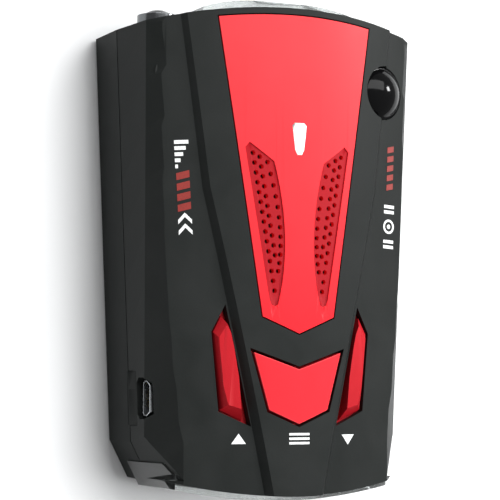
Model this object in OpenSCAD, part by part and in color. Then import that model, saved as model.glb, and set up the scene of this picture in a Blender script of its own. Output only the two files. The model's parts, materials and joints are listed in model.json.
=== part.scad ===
// Dash-top radar detector: a wedge-shaped plastic case with a raised, inlaid centre,
// three keys, a speaker, a radar horn, laser sensors and a display at the driver's end.
// +Y is the road side, -Y is the driver's end, +Z is up, and the rubber feet stand on z = 0.

/* [Case] */
// Length of the case along its top centre line
case_l = 104.9; // [100:0.1:127]
// Width of the case at its front corners
case_w = 69.4; // [66:0.1:84]
// Width of the case at its rear corners
rear_w = 61.4; // [58:0.1:74]
// Height from the underside to the crown of the raised centre
case_h = 33; // [31:0.1:40]
// Height of the seam between the two halves of the case
split_h = 12.9; // [10.5:0.1:15.6]
// Thickness of the case walls and of the floor
wall = 2; // [1.6:0.05:2.4]
// Radius of the front edge in plan
front_r = 150; // [120:1:220]
// Radius of the rear edge in plan
rear_r = 113; // [100:1:160]
// Length of the cut-off rear corners along Y
rear_cut_l = 11.45; // [8:0.05:13]
// Inward run of a cut-off rear corner for each millimetre of its length
rear_cut_run = 0.518; // [0.3:0.001:0.6]
// Open seam between the two halves
seam_gap = 0.3; // [0.1:0.05:0.5]
// Height of the locating tongue on the lower half
tongue_h = 1.5; // [1:0.1:2]
// Thickness of the locating tongue
tongue_t = 0.8; // [0.6:0.05:0.9]
// Clearance of seated pieces in their openings
fit_gap = 0.1; // [0.05:0.01:0.2]
// Height that the rubber feet stand proud of the underside
foot_h = 0.8; // [0.6:0.1:1.2]

/* [Side facets] */
// How far the crease stands in from the wall, front
crease_in_front = 2.7; // [2:0.1:3.4]
// How far the crease stands in from the wall, rear corner
crease_in_rear = 0.5; // [0.3:0.1:1]
// Height of the crease, front
crease_z_front = 23.5; // [21:0.1:25]
// Height of the crease, rear corner
crease_z_rear = 19.5; // [18:0.1:22]
// How far the shoulder stands in from the crease, front
shoulder_in_front = 2.6; // [2:0.1:3.4]
// How far the shoulder stands in from the crease, rear corner
shoulder_in_rear = 5.8; // [5.2:0.1:6.4]
// Inward lean of the cut-off rear corners above the seam, for each millimetre of height
corner_lean = 0.163; // [0.1:0.001:0.18]
// Part of the rear figure that the shoulder gains in a curve
shoulder_draw = 5; // [3:0.1:5]

/* [Raised centre] */
// Radius of the top surfaces beside the raised centre
side_crown_r = 85; // [75:1:110]
// Height of the raised centre above the side surfaces, on the centre line
centre_rise = 2; // [1.5:0.1:2.5]
// Radius of the top of the raised centre
centre_crown_r = 70; // [60:1:90]
// Width of the raised centre at the front edge
centre_w_front = 49.7; // [44:0.1:52]
// Width of the raised centre where its edges bend
centre_w_bend = 39.4; // [36:0.1:42]
// Width of the raised centre at the rear edge
centre_w_rear = 11.4; // [10.5:0.1:13]
// Distance of the bend from the rear edge
centre_bend_y = 65.5; // [60:0.1:70]
// Outward run of the step for each millimetre of its height
step_run = 0.63; // [0.4:0.01:0.8]

/* [Top panel] */
// Width of the inlaid panel at its front corners
panel_w_front = 37.2; // [34:0.1:40]
// Width of the inlaid panel at its rear corners
panel_w_rear = 17.4; // [16:0.1:19]
// Distance of the panel's rear corners from the rear edge of the case
panel_rear_y = 38.05; // [37:0.05:40]
// Length of the pointed rear end of the panel
panel_point = 3.7; // [2.5:0.1:4.5]
// Black border left in front of the panel
panel_border = 1.3; // [1:0.1:2]
// Thickness of the panel
panel_t = 1.6; // [1.3:0.05:2]
// Dark gap round the panel
panel_gap = 0.3; // [0.15:0.05:0.5]
// Depth of the two grille fields
field_depth = 0.3; // [0.1:0.05:0.5]
// Diameter of a grille hole
grille_hole_d = 1.07; // [0.8:0.01:1.2]
// Distance from one grille hole to the next in a row
grille_pitch = 2.13; // [1.9:0.01:2.3]

/* [Alert window] */
// Distance of the alert window's centre from the rear edge of the case
alert_y = 76.55; // [75:0.05:79]
// Length of the alert window
alert_l = 6.9; // [5:0.1:8]
// Width of the alert window at its front
alert_w_front = 3.4; // [2.4:0.1:4]
// Width of the alert window at its rear
alert_w_rear = 2.1; // [1.6:0.1:2.6]

/* [Keys] */
// Distance of the middle key's point from the rear edge
menu_point_y = 14.75; // [14:0.05:16]
// Length of the middle key's opening at its sides
menu_l = 13.6; // [12:0.1:14]
// Width of the middle key's opening at its front corners
menu_w_front = 22.4; // [20:0.1:23]
// Width of the middle key's opening at its rear corners
menu_w_rear = 14.8; // [13:0.1:16]
// Depth of the notch in the middle key's front edge
menu_notch = 3.9; // [3:0.1:4.5]
// Length of the middle key's pointed end
menu_point = 3.2; // [2:0.1:4]
// Gap round the middle key
menu_gap = 0.55; // [0.4:0.05:0.8]
// Gap round the two outer keys
blade_gap = 0.5; // [0.4:0.05:0.8]
// Extra gap between an outer key and the step
blade_inner_gap = 0.7; // [0.3:0.05:1.2]
// Height of the outer keys above the surface round them
blade_rise = 0.9; // [0.5:0.05:1.4]
// Inward run of the outer keys' slanted edges for each millimetre of their height
blade_lean = 0.8; // [0.4:0.05:1]
// Travel of the keys
key_travel = 0.4; // [0.2:0.05:0.6]

/* [Laser sensors] */
// Sideways place of the round lens on the top
dome_x = 23.1; // [22:0.1:26]
// Distance of the round top lens from the rear edge
dome_y = 88.65; // [87:0.05:90]
// Radius of the round top lens
dome_r = 5.4; // [4.5:0.1:5.6]
// Height of the round top lens
dome_h = 2.4; // [1.8:0.1:3.2]
// Sideways place of the two front lenses
eye_x = 26.1; // [25:0.1:26.3]
// Height of the two front lenses above the underside
eye_z = 15.5; // [14:0.1:17]
// Radius of the two front lenses
eye_r = 3.7; // [3:0.1:3.8]
// How far the bezels of the two front lenses stand proud
eye_proud = 1.5; // [0.6:0.1:1.8]
// Bulge of the two front lenses
eye_bulge = 1.7; // [1:0.1:2.2]

/* [Windows] */
// Width of the front window
front_window_w = 38; // [34:0.1:38.4]
// Lower edge of the front window above the inside floor
front_window_rise = 3; // [2.5:0.1:3.4]
// Height of the front window
front_window_h = 19.2; // [16:0.1:19.4]
// How far the front window falls back at its ends
front_window_sag = 2.4; // [1.6:0.1:2.6]
// Width of the flat middle of the front window
front_window_flat = 10; // [6:0.5:14]
// Bulge of the front window past the case
front_bulge = 2.85; // [2:0.05:3.5]
// Bulge of the display window past the case
rear_bulge = 1.35; // [0.8:0.05:2]
// Distance from the rear edge at which the display window ends on the sides
rear_window_y = 6.95; // [6:0.05:8]
// Lower edge of the display window above the inside floor
rear_window_rise = 3.7; // [3.4:0.1:4]
// Upper edge of the display window above the underside
rear_window_top = 24.9; // [23:0.1:25.4]
// How far the display window stands proud of the cut-off corners
rear_window_proud = 0.3; // [0.1:0.05:0.6]

/* [Circuit board] */
// Height of the main board's top face above the underside
board_top = 17.2; // [16.6:0.1:17.8]
// Thickness of the main board
board_t = 1.6; // [1.4:0.1:1.8]
// Gap between the main board and the side walls
board_gap = 1.2; // [0.8:0.1:1.6]
// Distance of the main board's rear edge from the rear edge of the case
board_rear_y = 9.8; // [9.5:0.1:10.5]
// Distance of the main board's front edge from the rear edge of the case
board_front_y = 79.8; // [79.5:0.1:80.2]

/* [Speaker] */
// Diameter of the speaker
speaker_d = 28; // [26:0.5:30]
// Distance of the speaker's centre from the rear edge of the case
speaker_y = 57.6; // [57:0.1:58.2]
// Depth of the speaker
speaker_h = 8; // [7:0.1:8.2]
// Travel of the cone each way
cone_travel = 0.3; // [0.1:0.05:0.4]

/* [Sockets and switch] */
// Distance of the USB socket's centre from the rear edge
usb_y = 20.75; // [20:0.05:22]
// Width of the USB socket's shell
usb_w = 7.6; // [7.2:0.1:8]
// Height of the USB socket's shell
usb_h = 4; // [3.8:0.1:4.2]
// Room round the USB socket in the case
usb_room = 0.65; // [0.4:0.05:0.9]
// Height of the lower half's raised tab under the USB socket
usb_tab_h = 3.3; // [2.6:0.1:3.6]
// Distance of the power jack's centre from the rear edge
jack_y = 45; // [44:0.1:47]
// Diameter of the power jack's hole
jack_d = 3.8; // [3.4:0.1:4.2]
// Distance of the power switch's centre from the rear edge
switch_y = 29.5; // [28:0.1:31]
// Travel of the power switch's slider
switch_travel = 2; // [1.5:0.1:2.4]

/* [Fasteners and feet] */
// Sideways place of the front case screws
front_screw_x = 27.3; // [26.5:0.1:28]
// Distance of the front case screws from the front edge
front_screw_y = 14.5; // [13:0.1:16]
// Sideways place of the rear case screws
rear_screw_x = 21.5; // [21:0.1:22]
// Distance of the rear case screws from the rear edge
rear_screw_y = 13; // [12.6:0.1:13.4]
// Thread radius of the case screws
screw_r = 1.3; // [1.1:0.05:1.5]
// Radius of the screw bosses
boss_r = 3; // [2.8:0.1:3.2]
// Radius of a rubber foot
foot_r = 4; // [3:0.1:5]

/* [Hidden] */

$fn = 64;
arc_fn = 240;
eps = 0.01;

// The ends of the case along Y, with the two windows' bulges centred on the origin
y_front = (case_l + rear_bulge - front_bulge) / 2;
y_rear = y_front - case_l;
y_corner = y_rear + rear_cut_l;
y_front_corner = y_front - pow(case_w / 2, 2) / (2 * front_r);

side_h = case_h - centre_rise;
inner_h = side_h - wall;
clip_h = case_h + 7;
reach = 8;

function mix(a, b, t) = a + (b - a) * t;
function along(y) = (y - y_corner) / (y_front_corner - y_corner);
function drop(x, r) = r - sqrt(r * r - x * x);
function roof_z(x) = inner_h - drop(abs(x), side_crown_r - wall);
function past_corner(y) = max(0, y_corner - y) * rear_cut_run;

// Half widths of the wall, the crease and the shoulder at a place along the case
function side_x(y) = mix(rear_w, case_w, max(0, along(y))) / 2;
function wall_x(y) = side_x(y) - past_corner(y);
function crease_x(y) = side_x(y) - mix(crease_in_rear, crease_in_front, max(0, along(y)));
function crease_z(y) = mix(crease_z_rear, crease_z_front, max(0, along(y)));
function shoulder_in(t) = mix(shoulder_in_rear - shoulder_draw, shoulder_in_front, max(0, t))
    + shoulder_draw * pow(1 - min(1, max(0, t)), 2.5);
function shoulder_x(y) = crease_x(y) - shoulder_in(along(y));
function shoulder_z(y) = side_h - drop(shoulder_x(y), side_crown_r);
function facet_x(y) = crease_x(y)
    - (crease_x(y) - shoulder_x(y)) * (clip_h - crease_z(y)) / (shoulder_z(y) - crease_z(y));
// Half width of the leaning facet above the crease, at height z
function lean_x(y, z) =
    crease_x(y) - (crease_x(y) - shoulder_x(y)) * (z - crease_z(y)) / (shoulder_z(y) - crease_z(y));

// Moves every edge of a closed anticlockwise outline in by d
function edge_normal(a, b) = [a[1] - b[1], b[0] - a[0]] / norm(b - a);
function inset_outline(p, d) = [for (i = [0 : len(p) - 1])
    let (n1 = edge_normal(p[(i + len(p) - 1) % len(p)], p[i]),
         n2 = edge_normal(p[i], p[(i + 1) % len(p)]))
    p[i] + d * (n1 + n2) / (1 + n1 * n2)];
// The same with a distance of its own for each edge
function cross_of(a, b) = a[0] * b[1] - a[1] * b[0];
function inset_edges(p, d) = [for (i = [0 : len(p) - 1])
    let (h = (i + len(p) - 1) % len(p),
         n1 = edge_normal(p[h], p[i]),
         n2 = edge_normal(p[i], p[(i + 1) % len(p)]))
    p[i] + [d[h] * n2[1] - d[i] * n1[1], d[i] * n1[0] - d[h] * n2[0]] / cross_of(n1, n2)];
function bezier(a, b, c, n) =
    [for (i = [0 : n]) let (t = i / n) (1 - t) * (1 - t) * a + 2 * t * (1 - t) * b + t * t * c];

function cross_section(y) = [
    [-side_x(y), 0], [side_x(y), 0], [side_x(y), split_h], [crease_x(y), crease_z(y)],
    [facet_x(y), clip_h], [-facet_x(y), clip_h], [-crease_x(y), crease_z(y)], [-side_x(y), split_h]];

plan = [[wall_x(y_front + reach), y_front + reach], [-wall_x(y_front + reach), y_front + reach],
        [-wall_x(y_corner), y_corner], [-wall_x(y_rear - reach), y_rear - reach],
        [wall_x(y_rear - reach), y_rear - reach], [wall_x(y_corner), y_corner]];

// Edge of the raised centre at the height of its crown
y_bend = y_rear + centre_bend_y;
function centre_edge(w, d) =
    w / 2 - d * sqrt(1 + step_run * step_run) - step_run * drop(w / 2, centre_crown_r);
function centre_outline(d, z) =
    let (out = step_run * (case_h - z), xf = centre_edge(centre_w_front, d) + out,
         xb = centre_edge(centre_w_bend, d) + out, xr = centre_edge(centre_w_rear, d) + out,
         kf = (xf - xb) / (y_front - y_bend), kr = (xb - xr) / (y_bend - y_rear))
    [[xf + kf * reach, y_front + reach], [-xf - kf * reach, y_front + reach], [-xb, y_bend],
     [-xr + kr * 2, y_rear - 2], [xr - kr * 2, y_rear - 2], [xb, y_bend]];
// Half width at the foot of the step
function step_foot(y) =
    let (t = (y - y_rear) / (y_bend - y_rear), x = mix(centre_w_rear, centre_w_bend, t) / 2)
    x + step_run * (case_h - drop(x, centre_crown_r) - side_h + drop(x + 1, side_crown_r));

// Outline of the inlaid panel's recess
panel_y = y_rear + panel_rear_y;
panel_front_y = y_front - panel_border;
function panel_outline() =
    let (k = (panel_w_front - panel_w_rear) / 2 / (panel_front_y - panel_y))
    [[panel_w_front / 2 + k * reach, panel_front_y + reach],
     [-panel_w_front / 2 - k * reach, panel_front_y + reach],
     [-panel_w_rear / 2, panel_y], [0, panel_y - panel_point], [panel_w_rear / 2, panel_y]];

// Outline of one grille field, on the right: a slanted front end, a bowed inner edge
field_y = y_rear + 53.2;
field_tip = [11.4, field_y + 22.25];
field_outer = [[6.95, field_y - 11.35], [12.4, field_y + 21.15]];
field_inner = bezier([5.9, field_y + 18.25], [1.4, field_y + 1.5], [5, field_y - 12.4], 12);
field_outline = concat(field_outer, [field_tip], field_inner,
                       [[5.65, field_y - 12.85], [6.5, field_y - 12.5]]);

// Slot in the case under a grille field
slot_outline = concat([[6.4, field_y - 10.7], [11.7, field_y + 20.4], [11, field_y + 21.1]],
                      bezier([6.7, field_y + 18.4], [2.2, field_y + 1.5], [4.7, field_y - 10.7], 10));

// Alert window, with cut corners
alert_c = y_rear + alert_y;
alert_front = alert_c + alert_l / 2;
alert_rear = alert_c - alert_l / 2;
alert_cut = 0.6;
function alert_outline() = [
    [alert_w_rear / 2, alert_rear + alert_w_rear / 2],
    [alert_w_front / 2, alert_front - alert_cut],
    [alert_w_front / 2 - alert_cut, alert_front],
    [alert_cut - alert_w_front / 2, alert_front],
    [-alert_w_front / 2, alert_front - alert_cut],
    [-alert_w_rear / 2, alert_rear + alert_w_rear / 2],
    [-alert_w_rear / 4, alert_rear],
    [alert_w_rear / 4, alert_rear]];

// Key openings
menu_tip_y = y_rear + menu_point_y;
menu_side_y = menu_tip_y + menu_point;
menu_front_y = menu_side_y + menu_l;
menu_opening = [[0, menu_tip_y], [menu_w_rear / 2, menu_side_y], [menu_w_front / 2, menu_front_y],
    [0, menu_front_y - menu_notch], [-menu_w_front / 2, menu_front_y], [-menu_w_rear / 2, menu_side_y]];
blade_tip_y = y_rear + 40.75;
blade_low_y = y_rear + 14.85;
blade_opening = [[step_foot(blade_low_y), blade_low_y], [step_foot(blade_low_y) + 7.1, blade_low_y + 3.2],
    [18.8, blade_tip_y - 5.8], [step_foot(blade_tip_y) + 0.2, blade_tip_y]];
// The cap of an outer key keeps more room along the step, its last edge
blade_cap = inset_edges(blade_opening, [blade_gap, blade_gap, blade_gap, blade_gap + blade_inner_gap]);
flange = 0.7;
flange_t = 0.8;
menu_key_at = [0, menu_tip_y + 8.6];
blade_key_at = [15.2, y_rear + 26.4];
key_r = 1.7;
switch_h = 3.5;
plunger_top = inner_h - 3.4;

// Round top lens
dome_tilt = asin(dome_x / side_crown_r);
dome_at = [dome_x, y_rear + dome_y, side_h - drop(dome_x, side_crown_r)];
dome_cap_r = (dome_r * dome_r + dome_h * dome_h) / (2 * dome_h);
dome_seat = 1.2;
dome_flange = 0.4;

// Front face
function front_y(x) = y_front - drop(x, front_r);
window_half = front_window_w / 2;
window_run = window_half - front_window_flat / 2;
window_r = (window_run * window_run + front_window_sag * front_window_sag) / (2 * front_window_sag);
front_window_z = wall + front_window_rise;
rear_window_z = wall + rear_window_rise;
window_cy = y_front + front_bulge - window_r;
eye_y = front_y(eye_x);
eye_seat = eye_proud - 0.4;
eye_cap_r = (eye_r * eye_r + eye_bulge * eye_bulge) / (2 * eye_bulge);
bezel_r = eye_r + 0.8;

// Display
window_end_y = y_rear + rear_window_y;
lip_gap = 0.3;
lip_t = 0.8;
facet_skin = 0.8;
display_z = (rear_window_z + rear_window_top) / 2;
digit_h = 9;
digit_w = 5.6;
digit_pitch = 9.4;
display_front_y = y_rear + wall + 3.2;
display_back_y = display_front_y + 4;
display_board_t = 1.2;

// Main board
board_bottom = board_top - board_t;
board_rear = y_rear + board_rear_y;
board_front = y_rear + board_front_y;
function board_x(y) = min(wall_x(y), crease_x(y)) - wall - board_gap;
board_screw_at = [[25.2, y_rear + 73.2], [-25.2, y_rear + 73.2], [14, y_rear + 12.9], [-14, y_rear + 12.9]];
board_screw_r = 1;
case_screw_at = [[front_screw_x, y_front - front_screw_y], [-front_screw_x, y_front - front_screw_y],
                 [rear_screw_x, y_rear + rear_screw_y], [-rear_screw_x, y_rear + rear_screw_y]];
case_head_r = 2.3;
case_head_t = 1.6;
head_seat = 2.6;
foot_at = [[24.5, y_front - 9], [-24.5, y_front - 9], [19, y_rear + 20.5], [-19, y_rear + 20.5]];
foot_sink = 0.8;

// Speaker
spk = [0, y_rear + speaker_y];
spk_r = speaker_d / 2;
spk_seat = inner_h - drop(spk_r, side_crown_r - wall) - 0.6;
gasket_t = 0.5;
frame_top = spk_seat - gasket_t;
magnet_r = 0.54 * spk_r;
magnet_t = 2.6;
magnet_z = frame_top - speaker_h + 1;
basket_h = frame_top - 0.7 - magnet_z - magnet_t;
lead_y = spk_r - 2.4;

// Sockets and switch
usb_c = y_rear + usb_y;
usb_face_x = wall_x(usb_c) - 1.5;
usb_depth = 9.2;
usb_lip = 0.3;
usb_cut = 0.6;
usb_lean = 0.9;
usb_knee = usb_h * 0.55;
usb_outline = [
    [-usb_w / 2, usb_cut], [-usb_w / 2 + usb_cut, 0], [usb_w / 2 - usb_cut, 0], [usb_w / 2, usb_cut],
    [usb_w / 2, usb_knee], [usb_w / 2 - usb_lean, usb_h], [-usb_w / 2 + usb_lean, usb_h],
    [-usb_w / 2, usb_knee]];
usb_tab_l = usb_w + 2 * usb_room + 2.7;
jack_half = 4.3;
jack_h = 6;
jack_nose_r = jack_d / 2 + 1.2;
jack_z = board_top + 3.2;
// The narrow end of the jack clears the wall and the leaning facet, and its nose stays inside
jack_end_y = y_rear + jack_y - jack_half;
jack_c = [min(wall_x(jack_end_y) - wall - 3.2, lean_x(jack_end_y, board_top + jack_h) - 1.3 * wall),
          y_rear + jack_y, jack_z];
jack_nose = lean_x(jack_end_y, jack_z + jack_nose_r) - 0.6 - jack_c[0];
slider_w = 2.6;
slider_h = 1.7;
switch_half = (slider_w + switch_travel) / 2;
switch_end_y = y_rear + switch_y - switch_half - 2;
switch_c = [wall_x(switch_end_y) - wall - 2.2, y_rear + switch_y, board_top + 1.9];
ink_t = 0.08;
key_mark_y = 12.2;

// Every piece of the case stands on the feet
module raised() { translate([0, 0, foot_h]) children(); }
module both() { children(); mirror([1, 0, 0]) children(); }
module at(p) { translate([p[0], p[1], 0]) children(); }
module rod(x, y, r, z0, z1) { translate([x, y, z0]) cylinder(r = r, h = z1 - z0); }
module block(x0, x1, y0, y1, z0, z1) { translate([x0, y0, z0]) cube([x1 - x0, y1 - y0, z1 - z0]); }
module prism(p, z0, z1) { translate([0, 0, z0]) linear_extrude(height = z1 - z0) polygon(p); }
module lying(r, apex) {
    translate([0, 0, apex - r]) rotate([90, 0, 0])
        cylinder(r = r, h = 2 * case_l, center = true, $fn = arc_fn);
}
// A layer of thickness t whose top follows a crown
module crown_layer(r, apex, t) { difference() { lying(r, apex); lying(r - t, apex - t); } }

// Everything between the front and the rear edge in plan, moved in by d
module plan_ends(d) {
    intersection() {
        translate([0, y_front - front_r, -1]) cylinder(r = front_r - d, h = clip_h + 2, $fn = arc_fn);
        translate([0, y_rear + rear_r, -1]) cylinder(r = rear_r - d, h = clip_h + 2, $fn = arc_fn);
    }
}

// Straight-walled block of the case's plan, moved in by d
module plan_block(d, z0, z1) { intersection() { prism(inset_outline(plan, d), z0, z1); plan_ends(d); } }

// Block with the case's leaning facets, moved in by d, through sections at the given places
function places(n) =
    concat([y_rear - reach], [for (i = [0 : n]) mix(y_corner, y_front_corner, i / n)], [y_front + reach]);
outer_ys = places(8);
inner_ys = places(3);
rear_ys = [y_rear - reach, y_corner];
module facet_block(d, ys) {
    rings = [for (y = ys) inset_outline(cross_section(y), d)];
    n = 8;
    polyhedron(
        points = [for (i = [0 : len(ys) - 1]) for (p = rings[i]) [p[0], ys[i], p[1]]],
        faces = concat([[for (j = [n - 1 : -1 : 0]) j]], [[for (j = [0 : n - 1]) (len(ys) - 1) * n + j]],
            [for (i = [0 : len(ys) - 2]) for (j = [0 : n - 1])
                [i * n + j, i * n + (j + 1) % n, (i + 1) * n + j]],
            [for (i = [0 : len(ys) - 2]) for (j = [0 : n - 1])
                [i * n + (j + 1) % n, (i + 1) * n + (j + 1) % n, (i + 1) * n + j]]));
}

// What lies outside the leaning rear corners, moved in by d
module corner_cuts(d) {
    x0 = wall_x(y_corner) - d * sqrt(1 + rear_cut_run * rear_cut_run);
    ring = [[x0 + rear_cut_run * reach, y_corner + reach], [x0 - rear_cut_run * reach, y_corner - reach],
            [x0 + 2 * reach, y_corner - reach], [x0 + 2 * reach, y_corner + reach]];
    both() polyhedron(
        points = concat([for (p = ring) [p[0] + corner_lean * (split_h + 1), p[1], -1]],
                        [for (p = ring) [p[0] - corner_lean * (clip_h - split_h), p[1], clip_h]]),
        faces = [[0, 1, 2, 3], [4, 5, 1, 0], [7, 6, 5, 4], [5, 6, 2, 1], [6, 7, 3, 2], [7, 4, 0, 3]]);
}

// Upper half's outside above the seam
module upper_outside() {
    difference() {
        upper_block();
        corner_cuts(0);
    }
}
module upper_block() {
    intersection() {
        union() {
            intersection() {
                facet_block(0, outer_ys);
                lying(side_crown_r, side_h);
            }
            intersection() {
                lying(centre_crown_r, case_h);
                hull() {
                    prism(centre_outline(0, case_h), case_h - eps, case_h);
                    prism(centre_outline(0, inner_h - 5), inner_h - 5, inner_h - 5 + eps);
                }
            }
        }
        plan_ends(0);
    }
}

module upper_inside() {
    difference() {
        intersection() {
            facet_block(wall, inner_ys);
            plan_ends(wall);
            lying(side_crown_r - wall, inner_h);
        }
        corner_cuts(wall);
    }
}

module rear_window_zone(grow) {
    intersection() {
        block(-case_w, case_w, -case_l, window_end_y + grow, rear_window_z - grow, rear_window_top + grow);
        facet_block(facet_skin - grow, rear_ys);
    }
}
module front_window_zone(grow) {
    block(-window_half - grow, window_half + grow, 0, case_l, front_window_z - grow,
          front_window_z + front_window_h + grow);
}
module usb_tab_zone(grow) {
    block(-case_w, -wall_x(usb_c) + wall + 2, usb_c - usb_tab_l / 2 - grow, usb_c + usb_tab_l / 2 + grow,
          split_h - 1, split_h + usb_tab_h + grow);
}
// Openings through both halves' walls
module wall_openings() {
    rear_window_zone(fit_gap);
    front_window_zone(fit_gap);
    for (s = [-1, 1]) translate([s * eye_x, 0, eye_z]) rotate([-90, 0, 0]) {
        cylinder(r = eye_r + fit_gap, h = case_l);
        translate([0, 0, eye_y - 0.5]) cylinder(r = bezel_r + fit_gap, h = reach);
    }
    translate([-usb_face_x - reach, usb_c, board_top]) rotate([90, 0, 90])
        linear_extrude(height = reach + 6) polygon(inset_outline(usb_outline, -usb_room));
    translate(jack_c) rotate([0, 90, 0]) cylinder(r = jack_nose_r + fit_gap, h = reach);
    block(switch_c[0] - 2, switch_c[0] + reach, switch_c[1] - switch_half - 0.4,
          switch_c[1] + switch_half + 0.4,
          switch_c[2] - slider_h / 2 - 0.4, switch_c[2] + slider_h / 2 + 0.4);
}

module lower_case() {
    color("#2b2f2e") raised() difference() {
        union() {
            difference() {
                union() {
                    plan_block(0, 0, split_h - seam_gap / 2);
                    plan_block(wall - tongue_t, split_h - 1, split_h + tongue_h);
                }
                plan_block(wall, wall, split_h + 3);
            }
            // Raised tab under the USB socket
            difference() {
                intersection() {
                    union() { upper_outside(); plan_block(0, split_h - 1, split_h + eps); }
                    usb_tab_zone(0);
                }
                plan_block(wall, 0, split_h + eps);
                upper_inside();
            }
            for (p = case_screw_at) intersection() {
                at(p) rod(0, 0, boss_r, eps, split_h);
                plan_block(eps, 0, split_h);
            }
            for (p = board_screw_at) at(p) rod(0, 0, 2.4, eps, board_bottom);
        }
        wall_openings();
        for (p = case_screw_at) at(p) {
            rod(0, 0, screw_r + 0.15, -1, split_h + 1);
            rod(0, 0, case_head_r + 0.3, -1, head_seat);
        }
        for (p = board_screw_at) at(p) rod(0, 0, board_screw_r, board_bottom - 6, board_bottom + 1);
        for (p = foot_at) at(p) rod(0, 0, foot_r, -1, foot_sink);
        label_pocket();
    }
}

module label_pocket() { block(-13, 13, -9, 9, -1, 0.2); }

module upper_case() {
    color("#3c403e") raised() difference() {
        union() {
            difference() {
                upper_outside();
                upper_inside();
                // Seam gap, and the rebate that takes the lower half's tongue
                block(-case_w, case_w, -case_l, case_l, 0, split_h + seam_gap / 2);
                plan_block(wall - tongue_t - fit_gap, 0, split_h + tongue_h + fit_gap);
            }
            // Screw bosses hanging from the roof
            for (p = case_screw_at) at(p) rod(0, 0, boss_r, split_h, roof_z(p[0]) + 0.4);
            // Flat seat for the speaker
            intersection() {
                at(spk) difference() {
                    rod(0, 0, spk_r + 0.8, spk_seat, clip_h);
                    rod(0, 0, spk_r - 1.8, 0, clip_h + 1);
                }
                lying(side_crown_r - wall + 0.5, inner_h + 0.5);
            }
        }
        wall_openings();
        usb_tab_zone(fit_gap);
        panel_recess();
        both() prism(slot_outline, board_top, clip_h);
        prism(inset_outline(alert_outline(), -0.3), 0, clip_h);
        prism(menu_opening, board_top, clip_h);
        both() prism(blade_opening, board_top, clip_h);
        dome_pocket();
        for (p = case_screw_at) at(p) rod(0, 0, screw_r, split_h - 1, split_h + 8.2);
    }
}
module panel_recess() {
    difference() {
        intersection() {
            prism(panel_outline(), board_top, clip_h);
            translate([0, y_front - front_r, 0])
                cylinder(r = front_r - panel_border, h = clip_h, $fn = arc_fn);
        }
        lying(centre_crown_r - panel_t, case_h - panel_t);
    }
}

module dome_frame() { translate(dome_at) rotate([0, dome_tilt, 0]) children(); }
module dome_pocket() {
    dome_frame() {
        translate([0, 0, -dome_seat]) cylinder(r = dome_r + dome_flange + 2 * fit_gap, h = reach);
        translate([0, 0, -reach]) cylinder(r = dome_r - 1.4, h = reach);
    }
}

// Inlaid panel, with its two grille fields and the hole for the alert window
module top_panel() {
    color("#e8323f") raised() difference() {
        intersection() {
            prism(inset_outline(panel_outline(), panel_gap), board_top, clip_h);
            translate([0, y_front - front_r, 0])
                cylinder(r = front_r - panel_border - panel_gap, h = clip_h, $fn = arc_fn);
            crown_layer(centre_crown_r, case_h, panel_t);
        }
        both() {
            difference() {
                prism(field_outline, board_top, clip_h);
                lying(centre_crown_r - field_depth, case_h - field_depth);
            }
            grille_holes();
        }
        prism(inset_outline(alert_outline(), -fit_gap), board_top, clip_h);
    }
}
// Three rows of holes: two straight ones and one that follows the bowed edge
module grille_holes() {
    outer_run = unit(field_outer[0] - field_outer[1]);
    for (i = [0 : 14]) grille_hole([10.6, field_y + 19.95] + i * grille_pitch * outer_run);
    for (i = [0 : 10]) grille_hole([9.1, field_y + 19.15] + i * grille_pitch * outer_run);
    for (p = bezier([7.36, field_y + 18.05], [3, field_y + 4], [4.86, field_y - 5.25], 11)) grille_hole(p);
}
module grille_hole(p) { rod(p[0], p[1], grille_hole_d / 2, board_top, clip_h); }
function unit(v) = v / norm(v);

// Dust cloth stuck under the panel, one strip in each slot
module grille_cloth() {
    color("#141414") raised() intersection() {
        both() prism(inset_outline(slot_outline, 0.06), board_top, clip_h);
        crown_layer(centre_crown_r - panel_t, case_h - panel_t, 0.3);
    }
}

// Clear alert window, carried down to the board as a light guide
module alert_window() {
    color("#f4f6f8") raised() intersection() {
        union() {
            prism(alert_outline(), inner_h + 1.2, clip_h);
            rod(0, alert_c, alert_w_rear / 2, board_top + 1.1, inner_h + 2);
        }
        lying(centre_crown_r, case_h);
    }
}
module alert_led() {
    color("#e9e4d0") raised()
        block(-1.6, 1.6, alert_c - 1.4, alert_c + 1.4, board_top, board_top + 0.9);
}

// Parts of a key below its cap: a flange under the roof, and a stem on the switch's plunger
module key_flange(outline) {
    intersection() {
        prism(outline, board_top, clip_h);
        crown_layer(side_crown_r - wall - fit_gap, inner_h - fit_gap, flange_t);
    }
}
module key_stem(p) {
    intersection() {
        rod(p[0], p[1], key_r + 0.6, plunger_top, clip_h);
        lying(side_crown_r - wall - fit_gap - 0.4, inner_h - fit_gap - 0.4);
    }
}
module menu_key() {
    cap = inset_outline(menu_opening, menu_gap);
    color("#e02f3c") raised() union() {
        intersection() {
            prism(cap, inner_h - 2, clip_h);
            crown_layer(centre_crown_r, case_h, case_h - inner_h + 0.5);
        }
        key_flange(inset_outline(menu_opening, -flange));
        key_stem(menu_key_at);
    }
}
module side_key() {
    low = side_h - drop(blade_opening[2][0], side_crown_r) - 0.3;
    union() {
        intersection() {
            hull() {
                prism(blade_cap, board_top, low);
                prism(inset_edges(blade_cap, [1, 1, 1, 0.3] * (case_h - low) * blade_lean),
                      case_h - eps, case_h);
            }
            crown_layer(side_crown_r + blade_rise, side_h + blade_rise, wall + blade_rise + 0.5);
        }
        key_flange(inset_outline(blade_opening, -flange));
        key_stem(blade_key_at);
    }
}
module down_key() { color("#d62a38") raised() side_key(); }
module up_key() { color("#d62a38") raised() mirror([1, 0, 0]) side_key(); }

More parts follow.
